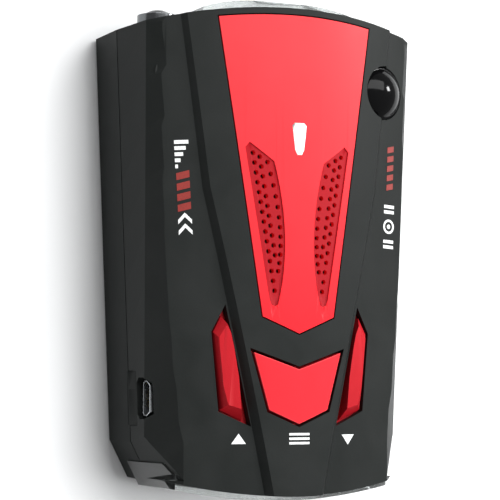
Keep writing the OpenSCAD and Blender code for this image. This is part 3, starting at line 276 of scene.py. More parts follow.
def plated_metal(name, colour, roughness, line=0.05, stretch=(1.0, 0.05, 1.0), depth=0.0015,
                 stain=0.12):
    """Plated sheet or turned metal: bright, with fine drawing lines along the work, small dull
    stains where it was touched, and slightly uneven polish."""
    material, tree, place = open_material(name)
    drawn = add_node(tree, "ShaderNodeMapping", {"Scale": stretch}, {"Vector": place})
    lines = add_node(tree, "ShaderNodeTexNoise",
                     {"Scale": per_mm(line), "Detail": 3.0}, {"Vector": drawn.outputs[0]})
    stains = add_node(tree, "ShaderNodeTexNoise",
                      {"Scale": per_mm(2.4), "Detail": 5.0, "Roughness": 0.65}, {"Vector": place})
    body = add_node(tree, "ShaderNodeMix",
                    {"data_type": "RGBA", 6: opaque(lighter(colour, -stain)),
                     7: opaque(colour)}, {0: stains.outputs[0]})
    polish = add_node(tree, "ShaderNodeMath", {"operation": "ADD"},
                      {0: lines.outputs[0], 1: stains.outputs[0]})
    rough = add_node(tree, "ShaderNodeMapRange",
                     {"From Min": 0.6, "From Max": 1.4, "To Min": roughness - 0.06,
                      "To Max": roughness + 0.12}, {"Value": polish.outputs[0]})
    bump = add_node(tree, "ShaderNodeBump", {"Distance": depth * MM},
                    {"Height": lines.outputs[0]})
    close_material(tree, {"Metallic": 1.0}, body, rough, bump)
    return material


def cast_zinc(name, colour):
    """Die-cast zinc left as cast: grey with a sugary skin, flow lines and a dull sheen."""
    material, tree, place = open_material(name)
    skin = add_node(tree, "ShaderNodeTexNoise",
                    {"Scale": per_mm(0.35), "Detail": 5.0, "Roughness": 0.7}, {"Vector": place})
    flow = add_node(tree, "ShaderNodeTexWave",
                    {"Scale": per_mm(16.0), "Distortion": 9.0, "Detail": 3.0}, {"Vector": place})
    body = add_node(tree, "ShaderNodeMix",
                    {"data_type": "RGBA", 6: opaque(lighter(colour, -0.25)), 7: opaque(colour)},
                    {0: flow.outputs[1]})
    rough = add_node(tree, "ShaderNodeMapRange", {"To Min": 0.32, "To Max": 0.58},
                     {"Value": skin.outputs[0]})
    bump = add_node(tree, "ShaderNodeBump", {"Distance": 0.015 * MM},
                    {"Height": skin.outputs[0]})
    close_material(tree, {"Metallic": 1.0}, body, rough, bump)
    return material


def solder_mask_board(name, mask, copper, pitch):
    """Glass-epoxy board: green solder mask with darker gaps between copper tracks that run in
    two directions, tinned pads at a regular pitch and a soft varnish sheen."""
    material, tree, place = open_material(name)
    tracks = add_node(tree, "ShaderNodeTexBrick",
                      {"Scale": per_mm(pitch * 5), "Mortar Size": 0.03, "Mortar Smooth": 0.2,
                       "Brick Width": 0.9, "Row Height": 0.22, "offset": 0.37,
                       "Color1": (1, 1, 1, 1), "Color2": (0.72, 0.72, 0.72, 1),
                       "Mortar": (0, 0, 0, 1)}, {"Vector": place})
    pads = add_node(tree, "ShaderNodeTexVoronoi",
                    {"Scale": per_mm(pitch * 2.3), "Randomness": 0.35}, {"Vector": place})
    pad = add_node(tree, "ShaderNodeMath", {"operation": "LESS_THAN", 1: 0.13},
                   {0: pads.outputs["Distance"]})
    green = add_node(tree, "ShaderNodeMix",
                     {"data_type": "RGBA", 6: opaque(lighter(mask, -0.45)), 7: opaque(mask)},
                     {0: tracks.outputs[0]})
    body = add_node(tree, "ShaderNodeMix", {"data_type": "RGBA", 7: opaque(copper)},
                    {0: pad.outputs[0], 6: green.outputs[2]})
    weave = add_node(tree, "ShaderNodeTexNoise",
                     {"Scale": per_mm(0.5), "Detail": 2.0}, {"Vector": place})
    rough = add_node(tree, "ShaderNodeMapRange", {"To Min": 0.24, "To Max": 0.44},
                     {"Value": weave.outputs[0]})
    height = add_node(tree, "ShaderNodeMath", {"operation": "ADD"},
                      {0: tracks.outputs[0], 1: pad.outputs[0]})
    bump = add_node(tree, "ShaderNodeBump", {"Distance": 0.03 * MM},
                    {"Height": height.outputs[0]})
    close_material(tree, {"IOR": 1.5}, body, rough, bump, pad)
    return material


def fired_ceramic(name, colour, grain=0.12, roughness=0.62):
    """Pressed and fired ceramic: a dull, dense body with fine dark and pale grains."""
    material, tree, place = open_material(name)
    grains = add_node(tree, "ShaderNodeTexVoronoi", {"Scale": per_mm(grain)}, {"Vector": place})
    patches = add_node(tree, "ShaderNodeTexNoise",
                       {"Scale": per_mm(3.0), "Detail": 4.0}, {"Vector": place})
    mix = add_node(tree, "ShaderNodeMath", {"operation": "MULTIPLY"},
                   {0: grains.outputs["Distance"], 1: patches.outputs[0]})
    body = add_node(tree, "ShaderNodeMix",
                    {"data_type": "RGBA", 6: opaque(lighter(colour, -0.3)),
                     7: opaque(lighter(colour, 0.12))}, {0: mix.outputs[0]})
    rough = add_node(tree, "ShaderNodeMapRange",
                     {"To Min": roughness - 0.08, "To Max": roughness + 0.1},
                     {"Value": patches.outputs[0]})
    bump = add_node(tree, "ShaderNodeBump", {"Distance": 0.006 * MM},
                    {"Height": grains.outputs["Distance"]})
    close_material(tree, {"IOR": 1.6, "Specular IOR Level": 0.35}, body, rough, bump)
    return material


def shrink_sleeve(name, colour, metal, lowest):
    """Capacitor in printed PVC sleeve: glossy film with faint wrinkles, and bare aluminium
    where the sleeve ends at the top of the can."""
    material, tree, place = open_material(name)
    parts = add_node(tree, "ShaderNodeSeparateXYZ", None, {0: place})
    bare = add_node(tree, "ShaderNodeMath", {"operation": "GREATER_THAN", 1: lowest},
                    {0: parts.outputs["Z"]})
    film = add_node(tree, "ShaderNodeTexNoise",
                    {"Scale": per_mm(1.2), "Detail": 3.0, "Distortion": 1.0}, {"Vector": place})
    sleeve = add_node(tree, "ShaderNodeMix",
                      {"data_type": "RGBA", 6: opaque(lighter(colour, -0.2)),
                       7: opaque(lighter(colour, 0.05))}, {0: film.outputs[0]})
    body = add_node(tree, "ShaderNodeMix", {"data_type": "RGBA", 7: opaque(metal)},
                    {0: bare.outputs[0], 6: sleeve.outputs[2]})
    rough = add_node(tree, "ShaderNodeMapRange", {"To Min": 0.18, "To Max": 0.36},
                     {"Value": film.outputs[0]})
    bump = add_node(tree, "ShaderNodeBump", {"Distance": 0.02 * MM},
                    {"Height": film.outputs[0]})
    close_material(tree, {"IOR": 1.54}, body, rough, bump, bare)
    return material


def soft_rubber(name, colour, grain=0.25, roughness=0.78):
    """Soft rubber or foam: matt, with open pores and a pale bloom of dust."""
    material, tree, place = open_material(name)
    pores = add_node(tree, "ShaderNodeTexVoronoi", {"Scale": per_mm(grain)}, {"Vector": place})
    bloom = add_node(tree, "ShaderNodeTexNoise",
                     {"Scale": per_mm(2.8), "Detail": 5.0, "Roughness": 0.6}, {"Vector": place})
    dust = add_node(tree, "ShaderNodeMapRange",
                    {"From Min": 0.45, "From Max": 0.75, "To Max": 0.6}, {"Value": bloom.outputs[0]})
    body = add_node(tree, "ShaderNodeMix",
                    {"data_type": "RGBA", 6: opaque(colour), 7: opaque(lighter(colour, 0.03))},
                    {0: dust.outputs[0]})
    rough = add_node(tree, "ShaderNodeMapRange",
                     {"To Min": roughness - 0.08, "To Max": roughness + 0.12},
                     {"Value": bloom.outputs[0]})
    bump = add_node(tree, "ShaderNodeBump", {"Distance": 0.012 * MM},
                    {"Height": pores.outputs["Distance"]})
    close_material(tree, {"IOR": 1.5, "Specular IOR Level": 0.3, "Sheen Weight": 0.08},
                   body, rough, bump)
    return material


def dust_cloth(name, colour, thread=0.34):
    """Acoustic cloth: a plain weave of round threads with a dull sheen. The real thread is about
    0.15 mm, drawn coarser so that it shows."""
    material, tree, place = open_material(name)
    warp = add_node(tree, "ShaderNodeTexWave",
                    {"bands_direction": "X", "Scale": per_mm(WAVE * thread), "Distortion": 0.4},
                    {"Vector": place})
    weft = add_node(tree, "ShaderNodeTexWave",
                    {"bands_direction": "Y", "Scale": per_mm(WAVE * thread), "Distortion": 0.4},
                    {"Vector": place})
    weave = add_node(tree, "ShaderNodeMath", {"operation": "MULTIPLY"},
                     {0: warp.outputs[1], 1: weft.outputs[1]})
    # Painted shade: the cloth is darkened between the threads.
    body = add_node(tree, "ShaderNodeMix",
                    {"data_type": "RGBA", 6: opaque(lighter(colour, -0.6)),
                     7: opaque(lighter(colour, 0.03))}, {0: weave.outputs[0]})
    rough = add_node(tree, "ShaderNodeMapRange", {"To Min": 0.95, "To Max": 0.7},
                     {"Value": weave.outputs[0]})
    bump = add_node(tree, "ShaderNodeBump", {"Distance": 0.08 * MM},
                    {"Height": weave.outputs[0]})
    close_material(tree, {"Specular IOR Level": 0.2, "Sheen Weight": 0.2, "Sheen Roughness": 0.5},
                   body, rough, bump)
    return material


def pulp_paper(name, colour):
    """Pressed paper pulp, dyed: matted fibres in every direction and a dry surface."""
    material, tree, place = open_material(name)
    fibres = add_node(tree, "ShaderNodeTexNoise",
                      {"Scale": per_mm(0.6), "Detail": 6.0, "Roughness": 0.75, "Distortion": 3.0},
                      {"Vector": place})
    body = add_node(tree, "ShaderNodeMix",
                    {"data_type": "RGBA", 6: opaque(lighter(colour, -0.4)),
                     7: opaque(lighter(colour, 0.06))}, {0: fibres.outputs[0]})
    rough = add_node(tree, "ShaderNodeMapRange", {"To Min": 0.75, "To Max": 0.98},
                     {"Value": fibres.outputs[0]})
    bump = add_node(tree, "ShaderNodeBump", {"Distance": 0.03 * MM},
                    {"Height": fibres.outputs[0]})
    close_material(tree, {"Specular IOR Level": 0.2}, body, rough, bump)
    return material


def wound_copper(name, colour, wire=0.16):
    """Enamelled copper winding: close turns of 0.16 mm wire, with painted shade as dark lines
    between them.
    """
    material, tree, place = open_material(name)
    turns = add_node(tree, "ShaderNodeTexWave",
                     {"bands_direction": "Z", "Scale": per_mm(WAVE * wire)}, {"Vector": place})
    enamel = add_node(tree, "ShaderNodeTexNoise",
                      {"Scale": per_mm(1.5), "Detail": 3.0}, {"Vector": place})
    # Painted shade: the grooves between the turns are darkened.
    body = add_node(tree, "ShaderNodeMix",
                    {"data_type": "RGBA", 6: opaque(lighter(colour, -0.75)), 7: opaque(colour)},
                    {0: turns.outputs[1]})
    rough = add_node(tree, "ShaderNodeMapRange", {"To Min": 0.2, "To Max": 0.4},
                     {"Value": enamel.outputs[0]})
    bump = add_node(tree, "ShaderNodeBump", {"Distance": 0.05 * MM},
                    {"Height": turns.outputs[1]})
    close_material(tree, {"Metallic": 1.0}, body, rough, bump)
    return material


def pad_print_ink(name, colour):
    """Pad-printed ink: a thin even film that takes the grain of the plastic under it, with
    pinholes and a dull edge."""
    material, tree, place = open_material(name)
    film = add_node(tree, "ShaderNodeTexNoise",
                    {"Scale": per_mm(0.3), "Detail": 3.0, "Roughness": 0.65}, {"Vector": place})
    thin = add_node(tree, "ShaderNodeMapRange", {"From Min": 0.35, "From Max": 0.55},
                    {"Value": film.outputs[0]})
    body = add_node(tree, "ShaderNodeMix",
                    {"data_type": "RGBA", 6: opaque(lighter(colour, -0.22)), 7: opaque(colour)},
                    {0: thin.outputs[0]})
    rough = add_node(tree, "ShaderNodeMapRange", {"To Min": 0.38, "To Max": 0.6},
                     {"Value": film.outputs[0]})
    bump = add_node(tree, "ShaderNodeBump", {"Distance": 0.004 * MM},
                    {"Height": film.outputs[0]})
    close_material(tree, {"Specular IOR Level": 0.4}, body, rough, bump)
    return material


def label_film(name, colour, rule, box):
    """Blank polyester rating label: silver-grey satin film with a thin ruled border and two
    ruled lines, and no lettering."""
    low, high = box
    centre = (low + high) / 2
    material, tree, place = open_material(name)
    middle = add_node(tree, "ShaderNodeMapping", {"Location": (-centre.x, -centre.y, 0.0)},
                      {"Vector": place})
    parts = add_node(tree, "ShaderNodeSeparateXYZ", None, {0: middle.outputs[0]})
    across = add_node(tree, "ShaderNodeMath", {"operation": "ABSOLUTE"}, {0: parts.outputs["X"]})
    along = add_node(tree, "ShaderNodeMath", {"operation": "ABSOLUTE"}, {0: parts.outputs["Y"]})
    half = [(high.x - low.x) / 2 - 1.0 * MM, (high.y - low.y) / 2 - 1.0 * MM]
    side = add_node(tree, "ShaderNodeMath",
                    {"operation": "COMPARE", 1: half[0], 2: 0.12 * MM}, {0: across.outputs[0]})
    end = add_node(tree, "ShaderNodeMath",
                   {"operation": "COMPARE", 1: half[1], 2: 0.12 * MM}, {0: along.outputs[0]})
    row = add_node(tree, "ShaderNodeMath",
                   {"operation": "COMPARE", 1: half[1] / 3, 2: 0.08 * MM}, {0: along.outputs[0]})
    frame_lines = add_node(tree, "ShaderNodeMath", {"operation": "MAXIMUM"},
                           {0: side.outputs[0], 1: end.outputs[0]})
    lines = add_node(tree, "ShaderNodeMath", {"operation": "MAXIMUM"},
                     {0: frame_lines.outputs[0], 1: row.outputs[0]})
    satin = add_node(tree, "ShaderNodeTexNoise",
                     {"Scale": per_mm(0.4), "Detail": 3.0}, {"Vector": place})
    film = add_node(tree, "ShaderNodeMix",
                    {"data_type": "RGBA", 6: opaque(lighter(colour, -0.1)), 7: opaque(colour)},
                    {0: satin.outputs[0]})
    body = add_node(tree, "ShaderNodeMix", {"data_type": "RGBA", 7: opaque(rule)},
                    {0: lines.outputs[0], 6: film.outputs[2]})
    rough = add_node(tree, "ShaderNodeMapRange", {"To Min": 0.32, "To Max": 0.46},
                     {"Value": satin.outputs[0]})
    bump = add_node(tree, "ShaderNodeBump", {"Distance": 0.003 * MM},
                    {"Height": satin.outputs[0]})
    close_material(tree, {"Metallic": 0.35}, body, rough, bump)
    return material


# ---- Pieces ----

def softened(node, material, radius, segments=2, sharpest=28.0, shortest=0.35, turn=32.0):
    """A copy of a CAD node with its sharp edges rounded. It rides with the node's body and
    stands in for the node. Rounded faces are marked, so that a material can wear them, and so
    that the clear windows can take painted shade, a dark outline, on them."""
    source = frame["nodes"][node]
    shape = bmesh.new()
    shape.from_mesh(source.data)
    bmesh.ops.remove_doubles(shape, verts=shape.verts, dist=SAME_POINT * MM)
    bmesh.ops.dissolve_limit(shape, angle_limit=math.radians(SAME_FACE), verts=shape.verts,
                             edges=shape.edges)
    # Marks rounded faces, for wear in the materials and for the painted shade on window rims.
    rounded_faces = shape.faces.layers.float.new("edge_wear_and_rim_shade")
    if radius > 0:
        edges = [e for e in shape.edges if e.is_manifold and e.calc_length() > shortest * MM
                 and e.calc_face_angle(0.0) > math.radians(sharpest)]
        made = bmesh.ops.bevel(shape, geom=edges, affect="EDGES", offset=radius * MM,
                               offset_type="OFFSET", segments=segments, profile=0.5,
                               material=-1, clamp_overlap=True)
        for face in made["faces"]:
            face[rounded_faces] = 1.0
    mesh = bpy.data.meshes.new(node + "_finished")
    shape.to_mesh(mesh)
    shape.free()
    mesh.shade_smooth()
    mesh.set_sharp_from_angle(angle=math.radians(turn))
    piece = bpy.data.objects.new(node + "_finished", mesh)
    bpy.context.scene.collection.objects.link(piece)
    piece.data.materials.append(material)
    even = piece.modifiers.new("Even shading", "WEIGHTED_NORMAL")
    even.keep_sharp = True
    even.weight = 60
    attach(piece, source["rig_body"])
    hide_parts(node)
    return piece


def dressed(node, material):
    """Gives a CAD node that keeps its own mesh its finish."""
    piece = frame["nodes"][node]
    for place in piece.material_slots:
        place.material = material
    if not piece.material_slots:
        piece.data.materials.append(material)


# ---- Settings ----

class CaseSettings(bpy.types.PropertyGroup):
    """Black case halves."""
    edge_radius: length_property("Edge Radius", "Rounding of the moulded edges", 0.22, 0.05, 0.5)
    grain: length_property("Grain", "Width of one grain of the texture", 0.32, 0.1, 1.0)
    upper_colour: colour_property("Upper Colour", "Colour of the upper case", "#1F2221")
    lower_colour: colour_property("Lower Colour", "Colour of the lower case", "#1C1F1E")


class PanelSettings(bpy.types.PropertyGroup):
    """Red panel, keys and grille."""
    edge_radius: length_property("Edge Radius", "Rounding of the panel's edges", 0.16, 0.02, 0.4)
    key_edge_radius: length_property("Key Edge Radius", "Rounding of the keys' edges", 0.22,
                                     0.05, 0.4)
    crown_radius: length_property("Crown Radius", "Radius of the crown across the panel", 70.0,
                                  60.0, 90.0)
    field_step: length_property("Field Step", "Depth past which a face belongs to a grille field",
                                0.2, 0.05, 0.5)
    field_floor: length_property("Field Floor", "Depth past which a face is below the fields",
                                 0.8, 0.6, 2.0)
    # The step from the near colour to the lighter far colour is painted light falling on the road
    # end.
    near_colour: colour_property("Near Colour", "Panel colour at the driver's end", "#F22630")
    far_colour: colour_property("Far Colour", "Panel colour at the road end", "#F84046")
    field_colour: colour_property("Field Colour", "Colour of the grille fields", "#A8141F")
    middle_key_colour: colour_property("Middle Key Colour", "Colour of the middle key", "#EA2C36")
    side_key_colour: colour_property("Side Key Colour", "Colour of the outer keys", "#B81C26")
    cloth_colour: colour_property("Cloth Colour", "Colour of the dust cloth", "#0C0606")
    plunger_colour: colour_property("Plunger Colour", "Colour of the key plungers", "#D9D4C4")


class WindowSettings(bpy.types.PropertyGroup):
    """Windows and lenses."""
    edge_radius: length_property("Edge Radius", "Rounding of the windows' edges", 0.18, 0.02, 0.4)
    smoke_colour: colour_property("Smoke Colour", "Tint of the windows", "#E2E7E6")
    # On the clear windows' rims this colour is painted shade, a dark outline, not a tint.
    dark_colour: colour_property("Dark Colour", "Tint of the display window and of the rims",
                                 "#101312")
    lens_colour: colour_property("Lens Colour", "Tint of the laser lenses", "#060607")
    light_colour: colour_property("Light Colour", "Colour of the alert window", "#F4F6F6")
    clear: FloatProperty(name="Clear Share", description="Share of light that the smoke lets in",
                         default=0.85, min=0.0, max=1.0, subtype="FACTOR")


class PrintSettings(bpy.types.PropertyGroup):
    """Printed marks and the label."""
    white: colour_property("White", "White pad-print ink", "#F2F4F4")
    dull_red: colour_property("Dull Red", "Dull red pad-print ink", "#8A241C")
    label: colour_property("Label", "Colour of the rating label", "#A9ADB0")
    rule: colour_property("Rule", "Colour of the label's ruled lines", "#2B2D2F")


class InsideSettings(bpy.types.PropertyGroup):
    """Boards, parts, speaker and fittings."""
    board_colour: colour_property("Board Colour", "Solder mask of the boards", "#17602F")
    copper_colour: colour_property("Pad Colour", "Tinned pads of the boards", "#C9C5B4")
    part_colour: colour_property("Part Colour", "Moulded bodies of chips and switches", "#1E2022")
    steel_colour: colour_property("Steel Colour", "Plated steel", "#C3C7CA")
    gold_colour: colour_property("Gold Colour", "Gold-plated contacts", "#DFBB62")
    zinc_colour: colour_property("Zinc Colour", "Cast radar horn", "#A9ADB0")
    sleeve_colour: colour_property("Sleeve Colour", "Capacitor sleeves", "#22304F")
    ceramic_colour: colour_property("Ceramic Colour", "Small ceramic parts", "#8E6F52")
    digit_colour: colour_property("Digit Colour", "Segments of the display", "#FF3A22")
    copper: colour_property("Wire Colour", "Copper of the voice coil", "#D28450")
    rubber_colour: colour_property("Rubber Colour", "Feet, surround and gasket", "#1B1C1D")
    pitch: length_property("Track Pitch", "Distance between tracks on a board", 1.1, 0.4, 2.0)


class StageSettings(bpy.types.PropertyGroup):
    """Floor, light and camera."""
    floor_colour: colour_property("Floor Colour", "Pale studio floor", "#F4F5F6")
    floor_size: length_property("Floor Size", "Side of the floor", 6000.0, 500.0, 20000.0)
    distance: length_property("Distance", "From the camera to its target", 423.22, 200.0, 2000.0)
    lens: FloatProperty(name="Lens", description="Focal length of the camera in millimetres",
                        default=137.42, min=20.0, max=300.0)
    sheen: FloatProperty(name="Sheen", description="Power of the light that only glosses, in watts",
                         default=12.0, min=0.0, max=500.0)
    spark: FloatProperty(name="Spark", description="Power of the small light in watts",
                         default=4.5, min=0.0, max=100.0)
    sky: FloatProperty(name="Sky", description="Strength of the even light", default=0.32,
                       min=0.0, max=5.0)
    key: FloatProperty(name="Key", description="Power of the large soft light in watts",
                       default=25.0, min=0.0, max=500.0)
    fill: FloatProperty(name="Fill", description="Power of the front light in watts",
                        default=2.5, min=0.0, max=500.0)


GROUPS = {"detector_case": CaseSettings, "detector_panel": PanelSettings,
          "detector_window": WindowSettings, "detector_print": PrintSettings,
          "detector_inside": InsideSettings, "detector_stage": StageSettings}


# ---- Operators ----

class DETECTOR_OT_case_halves(bpy.types.Operator):
    """Finish the two case halves in textured black plastic"""
    bl_idname = "detector.case_halves"
    bl_label = "Case Halves"

    def execute(self, context):
        case = context.scene.detector_case
        upper = moulded_plastic("Upper case ABS", case.upper_colour, 0.46,
                                case.grain / MM, 0.006, 0.08)
        lower = moulded_plastic("Lower case ABS", case.lower_colour, 0.50,
                                case.grain / MM, 0.007, 0.06)
        softened("upper_case", upper, case.edge_radius / MM, turn=15.0)
        softened("lower_case", lower, case.edge_radius / MM, turn=15.0)
        softened("dome_holder", upper, 0.1)
        return {"FINISHED"}


class DETECTOR_OT_red_panel(bpy.types.Operator):
    """Finish the inlaid red panel, its grille fields and the dust cloth below them"""
    bl_idname = "detector.red_panel"
    bl_label = "Red Panel"

    def execute(self, context):
        panel = context.scene.detector_panel
        low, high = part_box("top_panel")
        # Both panel materials are darker at the driver's end and lighter at the road end: painted
        # light.
        satin = satin_red_plastic("Panel ABS", panel.near_colour, panel.far_colour, 0.38,
                                  low.y, high.y, 0.08)
        dull = satin_red_plastic("Grille field ABS", lighter(panel.field_colour, -0.1),
                                 panel.field_colour, 0.5, low.y, high.y, 0.1)
        piece = softened("top_panel", satin, panel.edge_radius / MM,
                         shortest=0.9)
        piece.data.materials.append(dull)
        radius = panel.crown_radius
        for face in piece.data.polygons:
            crown = high.z - radius + math.sqrt(radius ** 2 - face.center.x ** 2)
            sunk = panel.field_step < crown - face.center.z < panel.field_floor
            if sunk and abs(face.normal.z) > LOOKS_ALONG:
                face.material_index = 1
        dressed("grille_cloth", dust_cloth("Acoustic cloth", panel.cloth_colour))
        return {"FINISHED"}


class DETECTOR_OT_keys(bpy.types.Operator):
    """Finish the three keys, the plungers under them and the switches that they press"""
    bl_idname = "detector.keys"
    bl_label = "Keys"

    def execute(self, context):
        panel = context.scene.detector_panel
        inside = context.scene.detector_inside
        low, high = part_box("menu_key")
        # The keys are darker at the driver's end and lighter at the road end: painted light.
        middle = satin_red_plastic("Middle key ABS", lighter(panel.middle_key_colour, -0.06),
                                   panel.middle_key_colour, 0.38, low.y, high.y, 0.09)
        side = satin_red_plastic("Outer key ABS", lighter(panel.side_key_colour, -0.12),
                                 panel.side_key_colour, 0.38, low.y, high.y, 0.09)
        softened("menu_key", middle, panel.key_edge_radius / MM)
        softened("up_key", side, panel.key_edge_radius / MM)
        softened("down_key", side, panel.key_edge_radius / MM)
        nylon = moulded_plastic("Plunger nylon", panel.plunger_colour, 0.42, 0.5, 0.003, 0.5)
        for name in ("up_plunger", "menu_plunger", "down_plunger"):
            softened(name, nylon, 0.12)
        body = moulded_plastic("Tact switch body", inside.part_colour, 0.4, 0.4, 0.003, 0.5)
        dressed("key_switches", body)
        return {"FINISHED"}


class DETECTOR_OT_windows(bpy.types.Operator):
    """Finish the front window, the display window and the alert window with its diode"""
    bl_idname = "detector.windows"
    bl_label = "Windows"

    def execute(self, context):
        window = context.scene.detector_window
        smoke = polished_plastic("Smoked acrylic", window.smoke_colour, window.clear, coat=0.1)
        front = softened("front_window", smoke, window.edge_radius / MM)
        dark = polished_plastic("Dark smoked acrylic", window.dark_colour, 0.2, 0.05, 0.25)
        rear = softened("display_window", smoke, window.edge_radius / MM)
        rear.data.materials.append(dark)
        for face in rear.data.polygons:
            face.material_index = int(abs(face.normal.x) > LOOKS_ALONG)
        # Painted light: the alert window glows faintly, though the diode below it gives no light.
        milky = milky_plastic("Alert window acrylic", window.light_colour, 0.05)
        alert = softened("alert_window", milky, 0.14)
        # Painted shade: the up-facing rounded edges of the front and alert windows are painted dark,
        # to draw a dark outline round them.
        rim = polished_plastic("Painted rim shade of the clear windows", window.dark_colour, 0.0, 0.2, 0.3)
        for piece in (front, alert):
            piece.data.materials.append(rim)
            rounded_faces = piece.data.attributes["edge_wear_and_rim_shade"].data
            for face in piece.data.polygons:
                if rounded_faces[face.index].value and face.normal.z > DARK_RIM:
                    face.material_index = 1
        diode = milky_plastic("Alert diode resin", lighter(window.light_colour, -0.15))
        softened("alert_led", diode, 0.15)
        return {"FINISHED"}


class DETECTOR_OT_lenses(bpy.types.Operator):
    """Finish the laser lenses, their bezels and the sensors behind them"""
    bl_idname = "detector.lenses"
    bl_label = "Laser Lenses"

    def execute(self, context):
        window = context.scene.detector_window
        inside = context.scene.detector_inside
        black = polished_plastic("Infrared lens polycarbonate", window.lens_colour, 0.0, 0.10,
                                 0.12)
        softened("dome_lens", black, 0.12)
        softened("left_front_lens", black, 0.12)
        softened("right_front_lens", black, 0.12)
        ring = plated_metal("Bezel black chrome", lighter(inside.steel_colour, -0.75), 0.16, 0.08)
        softened("lens_bezels", ring, 0.12)
        resin = polished_plastic("Sensor epoxy", linear("#33243F"), 0.0, 0.12, 0.5, 0.3)
        dressed("dome_sensor", resin)
        dressed("laser_sensors", resin)
        return {"FINISHED"}


class DETECTOR_OT_printed_marks(bpy.types.Operator):
    """Finish the printed marks in white and dull red ink"""
    bl_idname = "detector.printed_marks"
    bl_label = "Printed Marks"

    def execute(self, context):
        ink = context.scene.detector_print
        dressed("white_print", pad_print_ink("White ink", ink.white))
        dressed("red_print", pad_print_ink("Dull red ink", ink.dull_red))
        return {"FINISHED"}


class DETECTOR_OT_sockets(bpy.types.Operator):
    """Finish the USB socket, the power jack and the power switch"""
    bl_idname = "detector.sockets"
    bl_label = "Sockets and Switch"

    def execute(self, context):
        inside = context.scene.detector_inside
        shell = plated_metal("Socket tin plate", inside.steel_colour, 0.24, 0.06)
        body = moulded_plastic("Socket nylon", inside.part_colour, 0.42, 0.4, 0.004, 0.5)
        gold = plated_metal("Contact gold plate", inside.gold_colour, 0.2, 0.05)
        softened("usb_shell", shell, 0.07, shortest=0.15)
        softened("usb_insulator", body, 0.06, shortest=0.15)
        dressed("usb_contacts", gold)
        softened("jack_body", body, 0.15)
        softened("jack_pin", shell, 0.15)
        softened("switch_body", shell, 0.08)
        softened("switch_slider", body, 0.12)
        return {"FINISHED"}


class DETECTOR_OT_underside(bpy.types.Operator):
    """Finish the screws, the rubber feet and the blank label"""
    bl_idname = "detector.underside"
    bl_label = "Underside"

    def execute(self, context):
        inside = context.scene.detector_inside
        ink = context.scene.detector_print
        black_oxide = plated_metal("Blackened screw steel", linear("#5B5E61"), 0.3, 0.05,
                                   (1.0, 1.0, 0.1), 0.002, 0.3)
        softened("case_screws", black_oxide, 0.12)
        softened("board_screws", black_oxide, 0.1)
        softened("rubber_feet", soft_rubber("Foot rubber", inside.rubber_colour),
                 0.2)
        film = label_film("Rating label film", ink.label, ink.rule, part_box("base_label"))
        dressed("base_label", film)
        return {"FINISHED"}


class DETECTOR_OT_circuit_boards(bpy.types.Operator):
    """Finish the boards and the parts that stand on them"""
    bl_idname = "detector.circuit_boards"
    bl_label = "Circuit Boards"

    def execute(self, context):
        inside = context.scene.detector_inside
        board = solder_mask_board("Glass epoxy board", inside.board_colour,
                                  inside.copper_colour, inside.pitch / MM)
        for name in ("main_board", "sensor_boards"):
            dressed(name, board)
        chip = moulded_plastic("Chip epoxy", inside.part_colour, 0.55, 0.2, 0.004, 0.4)
        softened("processor", chip, 0.1)
        softened("memory_chip", chip, 0.1)
        softened("power_regulator", chip, 0.12)
        can = plated_metal("Crystal can nickel", inside.steel_colour, 0.2, 0.07)
        softened("crystal", can, 0.3, segments=3)
        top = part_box("capacitors")[1].z
        sleeve = shrink_sleeve("Capacitor sleeve", inside.sleeve_colour,
                               inside.steel_colour, top - 0.12 * MM)
        softened("capacitors", sleeve, 0.25)
        dressed("small_parts", fired_ceramic("Chip capacitor ceramic", inside.ceramic_colour))
        dressed("board_header", plated_metal("Header gold plate", inside.gold_colour, 0.22))
        return {"FINISHED"}


class DETECTOR_OT_radar_head(bpy.types.Operator):
    """Finish the radar horn with its microwave board and shield"""
    bl_idname = "detector.radar_head"
    bl_label = "Radar Head"

    def execute(self, context):
        inside = context.scene.detector_inside
        softened("horn_antenna", cast_zinc("Horn zinc", inside.zinc_colour), 0.2)
        shield = plated_metal("Shield tin plate", inside.steel_colour, 0.28, 0.1)
        softened("antenna_shield", shield, 0.2)
        dressed("antenna_board", solder_mask_board("Microwave board", inside.board_colour,
                                                   inside.gold_colour, inside.pitch / MM))
        return {"FINISHED"}


class DETECTOR_OT_display(bpy.types.Operator):
    """Finish the display module behind the driver's window"""
    bl_idname = "detector.display"
    bl_label = "Display"

    def execute(self, context):
        inside = context.scene.detector_inside
        body = moulded_plastic("Display body", inside.part_colour, 0.5, 0.3, 0.004, 0.4)
        softened("display_module", body, 0.15)
        dressed("display_digits", milky_plastic("Display segments", inside.digit_colour, 0.5))
        dressed("display_board", solder_mask_board("Display board", inside.board_colour,
                                                   inside.copper_colour, inside.pitch / MM))
        dressed("display_pins", plated_metal("Pin gold plate", inside.gold_colour, 0.22))
        return {"FINISHED"}


class DETECTOR_OT_speaker(bpy.types.Operator):
    """Finish the speaker"""
    bl_idname = "detector.speaker"
    bl_label = "Speaker"

    def execute(self, context):
        inside = context.scene.detector_inside
        steel = plated_metal("Speaker frame zinc plate", lighter(inside.steel_colour, -0.5),
                             0.32, 0.1)
        softened("speaker_frame", steel, 0.15)
        dressed("speaker_pole", steel)
        dressed("speaker_magnet", fired_ceramic("Magnet ferrite", linear("#2E3033"), 0.2))
        dressed("speaker_cone", pulp_paper("Cone paper", linear("#2C2C2C")))
        foam = soft_rubber("Surround foam", inside.rubber_colour, 0.18, 0.85)
        dressed("speaker_surround", foam)
        dressed("speaker_gasket", foam)
        dressed("voice_coil", wound_copper("Voice coil copper", inside.copper))
        dressed("speaker_leads", plated_metal("Lead gold plate", inside.gold_colour, 0.25))
        return {"FINISHED"}


